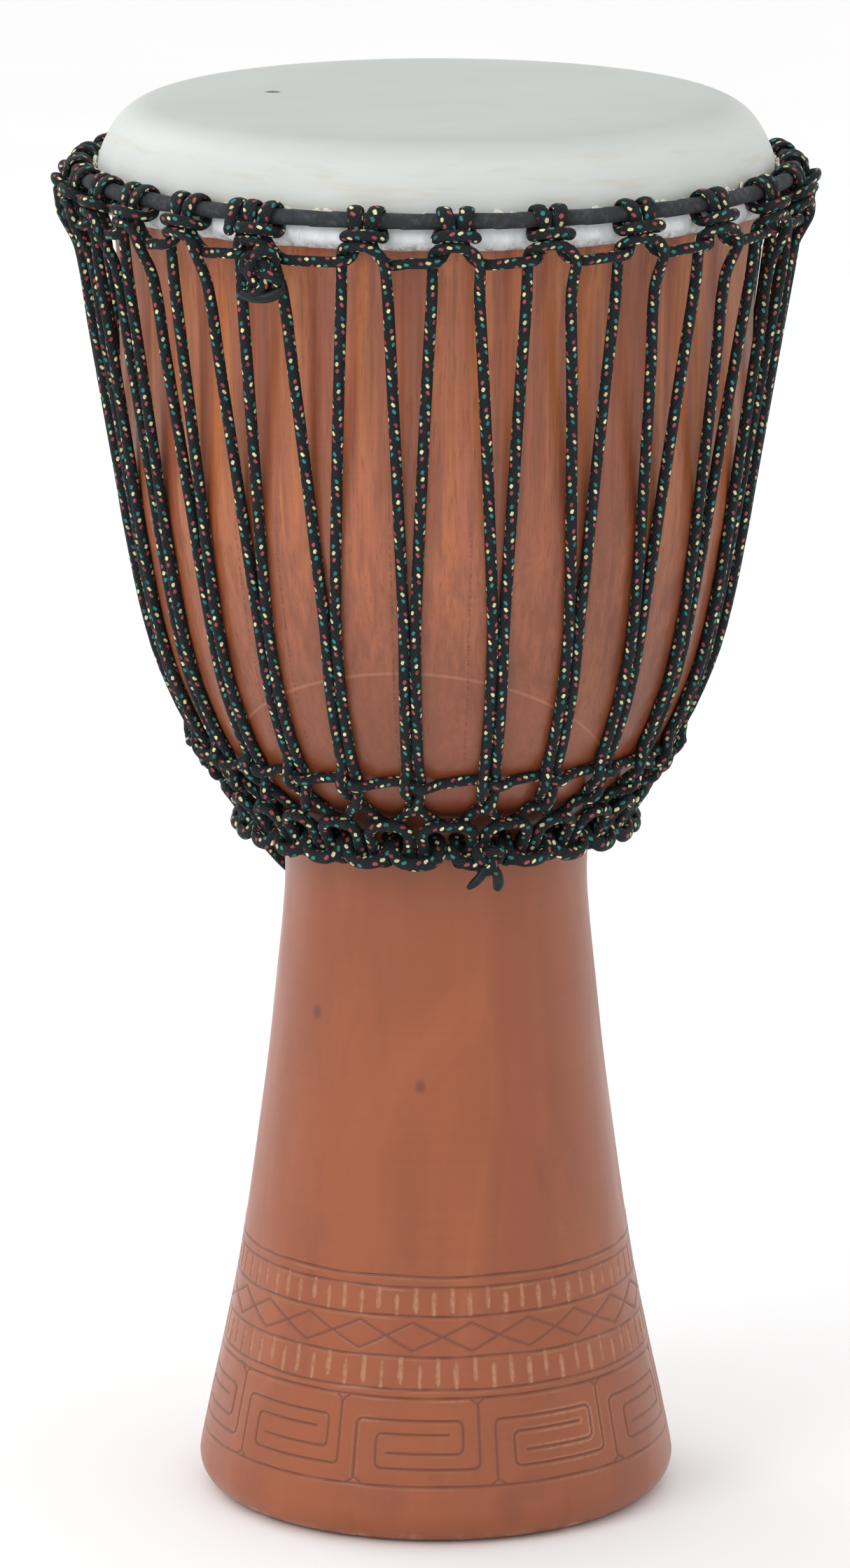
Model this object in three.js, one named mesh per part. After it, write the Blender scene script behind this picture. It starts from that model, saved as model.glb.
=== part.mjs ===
// Djembe: a goblet drum with a goatskin head, tied with one rope lacing between two hoops.
// Millimetres, +Z up. The origin is the centre of the foot's resting face, and -Y is the
// front, where the knots of both cradle ropes are tied off.
import * as THREE from 'three';

// Driving dimensions
const HEIGHT = 640;
const HEAD_RADIUS = 150.3;
const FOOT_RADIUS = 108.3;
const FOOT_EDGE_ROUND = 14;
const REST_FACE_INNER = 86;
const THROAT_RADIUS = 44;
const SKIN = 1.0;
const GAP = 0.3;
const ROPE = 4.7;
const ROPE_R = ROPE / 2;
const HOOP_ROD_R = 2.4;
const WRAP_INNER_R = 3;
const WRAP_OUTER_R = 3.55;
const CROWN = { r: 158.5, z: 607.5 };
const FLESH = { r: 149.8, z: 597.5, rod: 2.5 };
const LOWER = { r: 78.5, z: 313 };
const TURN_STEPS = 40;
const LOWER_TURN_STEPS = 30;
const ROPE_SIDES = 4;
const DEG = Math.PI / 180;

// Hand-tied hitches are not evenly spaced. Azimuths in degrees from the front, + to the right.
const UPPER_HITCHES = [
  2.9, 17.5, 32.4, 48.2, 63.2, 77.5, 91, 103.5, 116.5, 130, 143.5, 156.8, 170, 183,
  196, 209, 222, 235, 248, 260.5, 272.5, 284, 295, 305.8, 318.1, 331.9, 348.9,
];
const COUNT = UPPER_HITCHES.length;

// Lower hitch i sits under the run between upper hitches i and i + 1. Four to the right of the
// front and three to its left are as tied by hand, and the rest share the way round the back.
const LOWER_RIGHT = [12.3, 27.5, 42, 56.5];
const LOWER_LEFT = [325.7, 339.5, 354.5];

function lowerHitches() {
  const last = LOWER_RIGHT.at(-1);
  const even = COUNT - LOWER_RIGHT.length - LOWER_LEFT.length;
  const step = (LOWER_LEFT[0] - last) / (even + 1);
  const round = Array.from({ length: even }, (_, k) => last + step * (k + 1));
  return [...LOWER_RIGHT, ...round, ...LOWER_LEFT];
}

const LOWER_HITCHES = lowerHitches();

const material = (color, roughness, metalness = 0) =>
  new THREE.MeshStandardMaterial({ color, roughness, metalness });

const WOOD = material(0x8a4a2c, 0.42);
const GOATSKIN = material(0xd9dbd0, 0.6);
const STEEL = material(0x8b8f94, 0.4, 1);
const CLOTH = material(0x2b2c30, 0.95);
const BRAID = material(0x1d2426, 0.85);

const v2 = (x, y) => new THREE.Vector2(x, y);

function part(name, geometry, mat) {
  const mesh = new THREE.Mesh(geometry, mat);
  mesh.name = name;
  return mesh;
}

// A solid of revolution about Z from [radius, height] pairs, listed with the material on the left.
function turned(points, steps = TURN_STEPS) {
  const geometry = new THREE.LatheGeometry(points.map(([r, z]) => v2(r, z)), steps);
  return geometry.rotateX(Math.PI / 2);
}

// A place given by azimuth (radians from the front), radius and height.
function place(azimuth, radius, z) {
  return new THREE.Vector3(radius * Math.sin(azimuth), -radius * Math.cos(azimuth), z);
}

// ---- Shell ----

// Outside of the wood from the foot's rest face up to the crest of the bearing edge.
function shellOutside() {
  const edge = [];
  for (let i = 0; i <= 3; i++) {
    const a = (i / 3) * Math.PI / 2;
    const centre = FOOT_RADIUS - FOOT_EDGE_ROUND;
    edge.push([centre + FOOT_EDGE_ROUND * Math.sin(a), FOOT_EDGE_ROUND * (1 - Math.cos(a))]);
  }
  const foot = [[104.2, 35.7], [97, 69], [90.4, 102.5], [76.2, 202], [69.2, 267]];
  const waist = [[68.1, 290], [68.8, 316], [73, 323.5], [80, 327.5], [88, 332]];
  const bowl = [
    [94.5, 337.5], [104.2, 351], [113, 367], [121, 385.5], [131.2, 424],
    [137.8, 462], [140.8, 505], [142.2, 570], [144.6, 590],
  ];
  const rim = [
    [145.7, 601], [147.7, 605.4], [148.9, 609.5], [147.4, 614.9], [144.2, 621.7],
    [140.4, 628], [135.6, 632.4], [129.5, 635.4], [126, 636.3],
  ];
  return [...edge, ...foot, ...waist, ...bowl, ...rim];
}

// Inside of the wood from the bearing edge down through the throat to the foot's mouth.
function shellInside() {
  const bowl = [[124.5, 633], [127, 560], [122, 480], [112, 420], [93, 370]];
  const throat = [[70, 338], [50, 316], [THROAT_RADIUS, 290]];
  const foot = [[54, 200], [78, 30], [REST_FACE_INNER, 0]];
  return [...bowl, ...throat, ...foot];
}

const shellProfile = [...shellOutside(), ...shellInside()];
const shell = part('shell', turned([...shellProfile, shellProfile[0]]), WOOD);

// Radius of the wood's outside at a height, between the waist and the rim.
function woodRadius(z) {
  const outside = shellOutside();
  for (let i = 1; i < outside.length; i++) {
    const [r0, z0] = outside[i - 1];
    const [r1, z1] = outside[i];
    if (z >= z0 && z <= z1 && z1 > z0) return r0 + (r1 - r0) * (z - z0) / (z1 - z0);
  }
  return 0;
}

// ---- Head: one goatskin, stretched over the bearing edge and tucked under the flesh hoop ----

function tuck(radius, from, to, steps) {
  const points = [];
  for (let i = 0; i <= steps; i++) {
    const a = (from + (to - from) * i / steps) * DEG;
    points.push([FLESH.r + radius * Math.cos(a), FLESH.z + radius * Math.sin(a)]);
  }
  return points;
}

const tuckInner = FLESH.rod + GAP;
const tuckOuter = tuckInner + SKIN;
const skinTopSide = [
  [0, HEIGHT], [110, HEIGHT], [122, HEIGHT - 1.1], [130, HEIGHT - 3.2], [136.5, 633.6],
  [141.5, 629], [145.5, 622.5], [148.8, 615.5], [HEAD_RADIUS, 609.5], [149.3, 605], [147.3, 601],
];
const skinUnderSide = [
  [146.3, 601.3], [148.3, 605.3], [149.5, 609.5], [147.85, 615.1], [144.6, 622],
  [140.75, 628.35], [135.9, 632.75], [129.7, 635.85], [121.8, HEIGHT - 2.1],
  [110, HEIGHT - SKIN], [0, HEIGHT - SKIN],
];
const skinProfile = [
  ...skinTopSide,
  ...tuck(tuckInner, 180, 390, 4),
  ...tuck(tuckOuter, 390, 180, 4),
  ...skinUnderSide,
];
const skin = part('skin_head', turned(skinProfile.reverse()), GOATSKIN);

// ---- Hoops: steel rods, the crown and lower ones wrapped in cloth tape ----

function ring(centre, radius, sides, steps = TURN_STEPS) {
  const points = [];
  for (let i = 0; i <= sides; i++) {
    const a = (i % sides) / sides * 2 * Math.PI;
    points.push([centre.r + radius * Math.cos(a), centre.z + radius * Math.sin(a)]);
  }
  return turned(points, steps);
}

// Tape round a rod, with its seam left open along the side that faces the drum.
function wrap(centre, steps = TURN_STEPS) {
  const sides = 6;
  const seam = 8 * DEG;
  const points = [];
  const arc = (radius, from, to) => {
    for (let i = 0; i <= sides; i++) {
      const a = from + (to - from) * i / sides;
      points.push([centre.r + radius * Math.cos(a), centre.z + radius * Math.sin(a)]);
    }
  };
  arc(WRAP_OUTER_R, -Math.PI + seam, Math.PI - seam);
  arc(WRAP_INNER_R, Math.PI - seam, -Math.PI + seam);
  points.push(points[0]);
  return turned(points, steps);
}

const fleshHoop = part('flesh_hoop', ring(FLESH, FLESH.rod, 5), STEEL);
const crownHoop = part('crown_hoop', ring(CROWN, HOOP_ROD_R, 6), STEEL);
const crownWrap = part('crown_wrap', wrap(CROWN), CLOTH);
const lowerHoop = part('lower_hoop', ring(LOWER, HOOP_ROD_R, 6, LOWER_TURN_STEPS), STEEL);
const lowerWrap = part('lower_wrap', wrap(LOWER, LOWER_TURN_STEPS), CLOTH);

// ---- Ropes ----

// A path straight between its points, with one rope section at each of them.
class RopePath extends THREE.Curve {
  constructor(points) {
    super();
    this.points = points;
  }

  getPoint(t) {
    const last = this.points.length - 1;
    const i = Math.min(Math.floor(t * last + 1e-9), last - 1);
    return this.points[i].clone().lerp(this.points[i + 1], t * last - i);
  }

  getTangent(t) {
    const last = this.points.length - 1;
    const i = Math.round(t * last);
    const before = this.points[Math.max(i - 1, 0)];
    const here = this.points[i];
    const after = this.points[Math.min(i + 1, last)];
    const into = here.clone().sub(before).normalize();
    const out = after.clone().sub(here).normalize();
    return into.add(out).normalize();
  }

  getUtoTmapping(u) {
    return u;
  }
}

function rope(points, sides = ROPE_SIDES) {
  const section = new THREE.Shape();
  for (let i = 0; i < sides; i++) {
    const a = (i + 0.5) / sides * 2 * Math.PI;
    const [x, y] = [ROPE_R * Math.cos(a), ROPE_R * Math.sin(a)];
    if (i === 0) section.moveTo(x, y);
    else section.lineTo(x, y);
  }
  section.closePath();
  const extrudePath = new RopePath(points);
  const steps = points.length - 1;
  return new THREE.ExtrudeGeometry(section, { steps, extrudePath, curveSegments: 1 });
}

// Half a hitch, from the cradle's corner round the hoop to the bar across its front: sideways
// from the hitch, then out from and up from the hoop's centre. The tilt turns it about the hoop.
const HOOP_TURN = 7.05;
const BAR_OUT = 11.9;

function halfHitch({ corner, tilt, barEnd }) {
  const turn = (side, radius, degrees) => {
    const a = (degrees + tilt) * DEG;
    return [side, radius * Math.cos(a), radius * Math.sin(a)];
  };
  return [
    corner,
    turn(2.9, HOOP_TURN, -40),
    turn(4.1, HOOP_TURN, 25),
    turn(4.4, HOOP_TURN, 90),
    turn(4.6, HOOP_TURN, 155),
    turn(5.2, HOOP_TURN, 220),
    turn(barEnd, 8.8, 292),
    turn(4.3, BAR_OUT, -38),
  ];
}

// One hitch on a hoop. up = 1 hangs the cradle below the hoop, -1 stands it above.
function hitch(hoop, azimuth, style) {
  const half = halfHitch(style);
  const at = (sign) => ([side, out, rise]) =>
    place(azimuth + sign * side / hoop.r, hoop.r + out, hoop.z + style.up * rise);
  return [...half.map(at(-1)), ...half.map(at(1)).reverse()];
}

const UPPER_STYLE = { corner: [9.2, 6, -19], tilt: 0, barEnd: 8.8, up: 1 };
const LOWER_STYLE = { corner: [4.9, 22.5, -17.5], tilt: 58, barEnd: 6.2, up: -1 };
const azimuthIn = (hitches) => (i) => (hitches[i % COUNT] + 360 * Math.floor(i / COUNT)) * DEG;
const upperAzimuth = azimuthIn(UPPER_HITCHES);
const lowerAzimuth = azimuthIn(LOWER_HITCHES);

// The upper cradle starts and ends at the tie-off on the front left, the lower on the front right.
const UPPER_TIE = COUNT - 2;
const LOWER_TIE = 0;

function cradle(hoop, azimuthOf, style, first) {
  const points = [];
  for (let k = 0; k < COUNT; k++) points.push(...hitch(hoop, azimuthOf(first + k), style));
  return rope(points);
}

const upperCradle = part('upper_cradle_rope',
  cradle(CROWN, upperAzimuth, UPPER_STYLE, UPPER_TIE), BRAID);
const lowerCradle = part('lower_cradle_rope',
  cradle(LOWER, lowerAzimuth, LOWER_STYLE, LOWER_TIE), BRAID);

// The lacing: pair i hangs from the cradle run right of upper hitch i and ends above lower hitch i.
const LACE_LIFT = ROPE_R + 1.1;
const TOP = 590;
const TOUCH_Z = 421;
const PULL_ROW_Z = 352;
const ROW_SIDE = 5.9;
const ROW_INNER = 3.1;
const ROW_OUTER = 9.5;

function strand(i, side) {
  const [hitchAt, next] = [upperAzimuth(i), upperAzimuth(i + 1)];
  const upper = side < 0 ? hitchAt : next;
  const low = lowerAzimuth(i);
  const start = upper - side * 11.4 / CROWN.r;
  const blend = (z) => start + (low - start) * Math.min(1, (TOP - z) / (TOP - TOUCH_Z));
  const beside = (z, mm) => blend(z) + side * mm / woodRadius(z);
  const onWood = (z, mm, lift = LACE_LIFT) => place(beside(z, mm), woodRadius(z) + lift, z);
  return [
    place(start, 159.3, TOP),
    onWood(462, 1.2),
    onWood(TOUCH_Z, 2.6),
    onWood(382, 2.6, LACE_LIFT + 0.6),
    onWood(PULL_ROW_Z, ROW_SIDE, side < 0 ? ROW_OUTER : ROW_INNER),
    onWood(341, 4.2, side < 0 ? 8.2 : LACE_LIFT),
    place(low + side * 9.2 / 95, 92.3, 329),
  ];
}

function lacing(first) {
  const points = [];
  for (let k = 0; k < COUNT; k++) {
    points.push(...strand(first + k, -1).reverse(), ...strand(first + k, 1));
  }
  return rope(points);
}

const LACING_START = 14;
const lacingRope = part('lacing_rope', lacing(LACING_START), BRAID);

// The pull row goes behind the left strand and in front of the right strand of each pair.
function pullRow(first) {
  const points = [];
  const r = woodRadius(PULL_ROW_Z);
  for (let k = 0; k < COUNT; k++) {
    const low = lowerAzimuth(first + k);
    points.push(place(low - ROW_SIDE / r, r + ROW_INNER, PULL_ROW_Z));
    points.push(place(low + ROW_SIDE / r, r + ROW_OUTER, PULL_ROW_Z));
  }
  return rope(points);
}

const pullRope = part('pull_rope', pullRow(LACING_START), BRAID);

// ---- Carry loop: the spare end of the lacing, hung behind the foot from the lower hoop ----

const CARRY_LOOP = [
  [-90, 36, 313], [-87.3, 38.3, 305.5], [-84, 41.4, 298], [-79.7, 45.8, 290.5],
  [-75, 50.4, 283.5], [-70, 55, 276.8], [-64, 60, 270], [-57, 65.4, 263.5],
  [-48.5, 71, 257.5], [-38.5, 76.5, 252.5], [-27.5, 81.2, 249.5], [-16, 85.2, 249],
  [-5, 88.5, 251.5], [5, 91, 256.5], [13.5, 93.2, 264], [20.5, 95, 273],
  [26, 96.3, 282.5], [30.5, 97.2, 292.5], [34, 98, 302.5], [37, 98.5, 313],
];

function smoothRope(points, steps, sides) {
  const curve = new THREE.CatmullRomCurve3(points.map((p) => new THREE.Vector3(...p)));
  return rope(curve.getSpacedPoints(steps), sides);
}

const carryLoop = part('carry_loop', smoothRope(CARRY_LOOP, 30, 8), BRAID);

// ---- Tie-off knots ----

// A knot's lump with a short tail below it, turned about its own axis.
function knot(azimuth, radius, z, size, tail) {
  const profile = [
    [0, size], [size * 0.6, size * 0.72], [size * 0.95, size * 0.1], [size * 0.7, -size * 0.7],
    [ROPE_R, -size], [ROPE_R * 0.9, -size - tail], [0, -size - tail],
  ];
  const lump = new THREE.LatheGeometry(profile.reverse().map(([r, y]) => v2(r, y)), 8);
  lump.rotateX(Math.PI / 2);
  const at = place(azimuth, radius, z);
  return lump.translate(at.x, at.y, at.z);
}

const upperKnot = part('upper_tie_knot',
  knot(upperAzimuth(UPPER_TIE) + 1 * DEG, 175.2, 580, 6.4, 5), BRAID);
const lowerKnot = part('lower_tie_knot',
  knot(lowerAzimuth(LOWER_TIE), 98.8, 311, 5.4, 10), BRAID);

const djembe = new THREE.Group();
djembe.add(shell, skin, fleshHoop, crownHoop, crownWrap, lowerHoop, lowerWrap);
djembe.add(upperCradle, lowerCradle, lacingRope, pullRope, carryLoop, upperKnot, lowerKnot);

export default djembe;
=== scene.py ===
"""Looks for the djembe: turned and carved shell, goatskin head, taped hoops and braided ropes.

Shapes are worked out in millimetres, with azimuths in degrees from the front (-Y), + to the
right, and turned into metres when a mesh is made.
"""
import math

import bpy
import numpy as np
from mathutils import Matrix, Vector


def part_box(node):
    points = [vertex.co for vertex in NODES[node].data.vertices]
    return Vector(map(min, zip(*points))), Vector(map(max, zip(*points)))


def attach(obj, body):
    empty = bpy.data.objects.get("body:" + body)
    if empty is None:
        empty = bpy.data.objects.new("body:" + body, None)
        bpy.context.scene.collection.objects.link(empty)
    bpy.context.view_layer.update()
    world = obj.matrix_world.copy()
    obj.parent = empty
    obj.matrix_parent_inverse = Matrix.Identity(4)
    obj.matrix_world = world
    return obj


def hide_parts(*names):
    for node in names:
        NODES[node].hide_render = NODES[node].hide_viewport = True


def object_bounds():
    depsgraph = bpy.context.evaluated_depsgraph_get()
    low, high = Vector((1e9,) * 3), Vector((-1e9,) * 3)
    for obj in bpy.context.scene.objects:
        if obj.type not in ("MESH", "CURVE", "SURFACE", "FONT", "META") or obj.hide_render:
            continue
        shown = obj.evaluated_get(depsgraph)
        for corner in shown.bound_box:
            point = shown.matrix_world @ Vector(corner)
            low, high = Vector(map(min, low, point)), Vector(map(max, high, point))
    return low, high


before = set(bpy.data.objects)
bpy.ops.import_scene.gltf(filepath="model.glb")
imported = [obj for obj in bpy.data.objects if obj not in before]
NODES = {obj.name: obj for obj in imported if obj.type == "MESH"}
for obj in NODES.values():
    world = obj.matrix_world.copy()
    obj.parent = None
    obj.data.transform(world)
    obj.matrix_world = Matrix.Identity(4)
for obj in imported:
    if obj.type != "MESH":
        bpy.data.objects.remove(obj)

CAD_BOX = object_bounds()
MM = 0.001
BODY = "root"

# Sizes shared with the CAD
ROPE = 4.7
ROPE_R = ROPE / 2
HOOP_ROD_R = 2.4
TAPE_R = 3.55
UPPER_HITCHES = [
    2.9, 17.5, 32.4, 48.2, 63.2, 77.5, 91, 103.5, 116.5, 130, 143.5, 156.8, 170, 183,
    196, 209, 222, 235, 248, 260.5, 272.5, 284, 295, 305.8, 318.1, 331.9, 348.9,
]
COUNT = len(UPPER_HITCHES)
LOWER_RIGHT = [12.3, 27.5, 42, 56.5]
LOWER_LEFT = [325.7, 339.5, 354.5]
UPPER_TIE = COUNT - 2
LOWER_TIE = 0
BACK_START = 14


def lower_hitches():
    """Azimuths of the lower hitches: the front ones as tied, the rest evenly round the back."""
    even = COUNT - len(LOWER_RIGHT) - len(LOWER_LEFT)
    between = np.linspace(LOWER_RIGHT[-1], LOWER_LEFT[0], even + 2)[1:-1]
    return [*LOWER_RIGHT, *between, *LOWER_LEFT]


LOWER_HITCHES = lower_hitches()


def turned_by(azimuths, i):
    """Azimuth of hitch i, counted on past a full turn."""
    return azimuths[i % COUNT] + 360 * (i // COUNT)


def upper_azimuth(i):
    return turned_by(UPPER_HITCHES, i)


def lower_azimuth(i):
    return turned_by(LOWER_HITCHES, i)


def hoop(node):
    """(ring radius, height) of a hoop's rod, from its CAD node."""
    low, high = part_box(node)
    return high.x / MM - HOOP_ROD_R, (low.z + high.z) / 2 / MM


CROWN_R, CROWN_Z = hoop("crown_hoop")
LOWER_R, LOWER_Z = hoop("lower_hoop")
HEIGHT = CAD_BOX[1].z / MM


# ---- Camera ----

def add_object(name, data):
    thing = bpy.data.objects.new(name, data)
    bpy.context.scene.collection.objects.link(thing)
    return thing


def make_camera():
    data = bpy.data.cameras.new("camera")
    data.lens = 188.3
    data.sensor_width = 36
    camera = add_object("camera", data)
    camera.location = (-0.00501, -3.6096, 1.1509)
    camera.rotation_euler = (math.radians(90 - 12.87), 0, 0)
    bpy.context.scene.camera = camera


make_camera()


# ---- Mesh helpers ----

def place(azimuth, radius, z):
    """Points in millimetres from azimuths in degrees, radii and heights."""
    a = np.radians(azimuth)
    return np.stack(np.broadcast_arrays(radius * np.sin(a), -radius * np.cos(a), z), -1)


def make_piece(name, points, faces, material, uv=None, layers=None):
    """A smooth mesh object from points in millimetres and a list of arrays of equal-sided faces."""
    mesh = bpy.data.meshes.new(name)
    corners = np.concatenate([np.asarray(f).ravel() for f in faces]).astype(np.int32)
    sizes = np.concatenate([np.full(len(f), np.asarray(f).shape[1]) for f in faces])
    starts = np.concatenate([[0], np.cumsum(sizes)[:-1]]).astype(np.int32)
    mesh.vertices.add(len(points))
    mesh.vertices.foreach_set("co", (np.asarray(points, float) * MM).ravel())
    mesh.loops.add(len(corners))
    mesh.loops.foreach_set("vertex_index", corners)
    mesh.polygons.add(len(sizes))
    mesh.polygons.foreach_set("loop_start", starts)
    mesh.update(calc_edges=True)
    if uv is not None:
        mesh.uv_layers.new(name="along")
        mesh.uv_layers["along"].data.foreach_set("uv", np.asarray(uv, float).ravel())
    for key, values in (layers or {}).items():
        mesh.attributes.new(key, "FLOAT", "POINT")
        mesh.attributes[key].data.foreach_set("value", np.asarray(values, float))
    mesh.validate()
    mesh.shade_smooth()
    mesh.materials.append(material)
    piece = add_object(name, mesh)
    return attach(piece, BODY)


def grid_faces(rows, columns, closed_rows=False, flip=False):
    """Quads of a grid of points, row by row, whose columns go round and join up."""
    i = np.arange(rows if closed_rows else rows - 1)[:, None]
    j = np.arange(columns)[None, :]
    below = (i + 1) % rows
    right = (j + 1) % columns
    quads = np.stack(np.broadcast_arrays(
        i * columns + j, i * columns + right, below * columns + right, below * columns + j,
    ), -1).reshape(-1, 4)
    return quads[:, ::-1] if flip else quads


def quad_corners(rows, columns):
    """(row, column) of each quad's four corners in a grid, in turn round the quad."""
    i = np.repeat(np.arange(rows), columns)
    j = np.tile(np.arange(columns), rows)
    return np.stack([np.stack([i + di, j + dj], -1) for di, dj in ((0, 0), (0, 1), (1, 1), (1, 0))], 1)


def turn_of(distance, radius):
    """Degrees of azimuth in a sideways distance at a radius."""
    return np.degrees(distance / radius)


def waviness(azimuth, seed, waves, lowest=2, highest=11):
    """Unevenness of about -1 to 1: sine waves that come round again after a full turn."""
    random = np.random.default_rng(seed)
    a = np.radians(azimuth)
    total = 0
    for _ in range(waves):
        turns = random.integers(lowest, highest)
        total = total + np.sin(turns * a + random.uniform(0, 2 * math.pi))
    return total / math.sqrt(waves / 2) * 0.6


# ---- Rope ----
# A rope's path is rows of x, y, z, swell, how far it is pressed flat, and the direction it is
# pressed in. Before to_path() the rows are azimuth, radius, height, swell, flat, out, up.

PRESSED_DEPTH = 0.42
PRESSED_WIDTH = 0.42


def smooth(points, closed=False, step=1.5):
    """A centripetal Catmull-Rom curve through the points, whose first three columns are x, y, z."""
    p = np.asarray(points, float)
    if closed:
        p = np.vstack([p[-1:], p, p[:2]])
    else:
        p = np.vstack([2 * p[0] - p[1], p, 2 * p[-1] - p[-2]])
    curve = []
    for a, b, c, d in zip(p[:-3], p[1:-2], p[2:-1], p[3:], strict=True):
        gaps = [max(1e-6, math.sqrt(np.linalg.norm((v - u)[:3]))) for u, v in ((a, b), (b, c), (c, d))]
        t0, t1, t2, t3 = np.cumsum([0, *gaps])
        count = max(2, math.ceil(gaps[1] ** 2 / step))
        t = np.linspace(t1, t2, count, endpoint=False)[:, None]
        a1 = ((t1 - t) * a + (t - t0) * b) / (t1 - t0)
        a2 = ((t2 - t) * b + (t - t1) * c) / (t2 - t1)
        a3 = ((t3 - t) * c + (t - t2) * d) / (t3 - t2)
        b1 = ((t2 - t) * a1 + (t - t0) * a2) / (t2 - t0)
        b2 = ((t3 - t) * a2 + (t - t1) * a3) / (t3 - t1)
        curve.append(((t2 - t) * b1 + (t - t1) * b2) / (t2 - t1))
    if not closed:
        curve.append(p[-2:-1])
    return np.vstack(curve)


def thin_out(path, bend, longest):
    """Drops points where the path is nearly straight."""
    kept = [path[0]]
    for here, after in zip(path[1:-1], path[2:], strict=True):
        into = (here - kept[-1])[:3]
        out = (after - here)[:3]
        length = np.linalg.norm(into)
        turn = np.dot(into, out) / (length * np.linalg.norm(out) + 1e-9)
        if turn < math.cos(math.radians(bend)) or length > longest:
            kept.append(here)
    return np.array([*kept, path[-1]])


def unit(v):
    return v / (np.linalg.norm(v, axis=-1, keepdims=True) + 1e-12)


def carried_frames(path):
    """Two directions across the path at each point, carried along it without twist."""
    tangent = unit(np.gradient(path, axis=0))
    start = np.cross(tangent[0], [0.31, 0.52, 0.79])
    across = [unit(start)]
    for i in range(1, len(path)):
        v = across[-1] - np.dot(across[-1], tangent[i]) * tangent[i]
        across.append(unit(v))
    across = np.array(across)
    return across, np.cross(tangent, across)


def rounded_ends(path):
    """The path with a few more points at each end, where the rope's radius rounds off to nothing."""
    reach = np.array([0.35, 0.7, 0.95]) * ROPE_R
    ratio = np.array([0.92, 0.7, 0.25])
    ends = []
    for end, before in ((0, 1), (-1, -2)):
        tip = np.repeat(path[end][None], 3, 0)
        tip[:, :3] += unit(path[end, :3] - path[before, :3]) * reach[:, None] * path[end, 3]
        tip[:, 3] *= ratio
        ends.append(tip)
    return np.vstack([ends[0][::-1], path, ends[1]])


def rope_rings(path, sides):
    """Points on the rope's surface, a ring of them round each row of the path."""
    centre, swell, flat = path[:, :3], path[:, 3], path[:, 4]
    pressed = unit(path[:, 5:8])
    across, up = carried_frames(centre)
    angle = np.arange(sides) / sides * 2 * math.pi
    ring = across[:, None] * np.cos(angle)[None, :, None] + up[:, None] * np.sin(angle)[None, :, None]
    depth = (ring * pressed[:, None]).sum(-1, keepdims=True) * pressed[:, None]
    squash = 1 - PRESSED_DEPTH * flat[:, None, None]
    spread = 1 + PRESSED_WIDTH * flat[:, None, None]
    ring = depth * squash + (ring - depth) * spread
    return (centre[:, None] + ring * (swell * ROPE_R)[:, None, None]).reshape(-1, 3)


def tube(path, sides):
    """A rope's points, its quads and end caps, and the corner UVs of both: round it, and mm along."""
    path = rounded_ends(path)
    centre = path[:, :3]
    along = np.concatenate([[0], np.cumsum(np.linalg.norm(np.diff(centre, axis=0), axis=1))])
    points = np.vstack([rope_rings(path, sides), centre[:1], centre[-1:]])
    corners = quad_corners(len(centre) - 1, sides)
    uv = np.stack([corners[..., 1] / sides, along[corners[..., 0]]], -1).reshape(-1, 2)
    hub = np.full(sides, len(points) - 2)
    last = (len(centre) - 1) * sides
    a = np.arange(sides)
    b = (a + 1) % sides
    caps = np.vstack([np.stack([hub, b, a], -1), np.stack([hub + 1, last + a, last + b], -1)])
    cap_uv = np.repeat([[0.5, along[0]], [0.5, along[-1]]], sides * 3, axis=0)
    return points, (grid_faces(len(centre), sides), caps), (uv, cap_uv)


def rope_piece(name, paths, sides=14, dark_ends=None):
    """One braided piece, a tube along each path. dark_ends is how melted each tube is, 0 to 1."""
    tubes = [tube(path, sides) for path in paths]
    counts = [len(points) for points, _, _ in tubes]
    starts = np.cumsum([0, *counts[:-1]])
    points = np.vstack([points for points, _, _ in tubes])
    faces = [
        np.vstack([faces[kind] + start for (_, faces, _), start in zip(tubes, starts, strict=True)])
        for kind in (0, 1)
    ]
    uv = np.vstack([uv[kind] for kind in (0, 1) for _, _, uv in tubes])
    layers = {"melted": np.repeat(dark_ends or [0.0] * len(paths), counts)}
    return make_piece(name, points, faces, ROPE_MATERIAL, uv, layers)


def round_rows(points):
    """Rows of a round rope from three coordinates, with a swell where a fourth gives one."""
    points = np.asarray(points, float)
    swell = points[:, 3] if points.shape[1] > 3 else np.ones(len(points))
    blank = np.zeros(len(points))
    return np.column_stack([points[:, :3], swell, blank, blank + 1, blank])


def to_path(rows):
    """Rope rows given round the drum as rows in x, y, z."""
    rows = np.asarray(rows, float)
    at = place(rows[:, 0], rows[:, 1], rows[:, 2])
    pressed = place(rows[:, 0], rows[:, 5], rows[:, 6])
    return np.column_stack([at, rows[:, 3:5], pressed])


def rope_path(rows, step=1.0, bend=4.0, longest=7.0):
    """The smooth path of a rope whose rows are given round the drum."""
    return thin_out(smooth(to_path(rows), step=step), bend, longest)


def joined_up(sections, turns=1):
    """The sections' rows in one list that ends where it began, full turns further round."""
    rows = np.vstack(sections)
    last = rows[:1] + [360 * turns, 0, 0, 0, 0, 0, 0]
    return np.vstack([rows, last])


# ---- Materials ----

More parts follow.
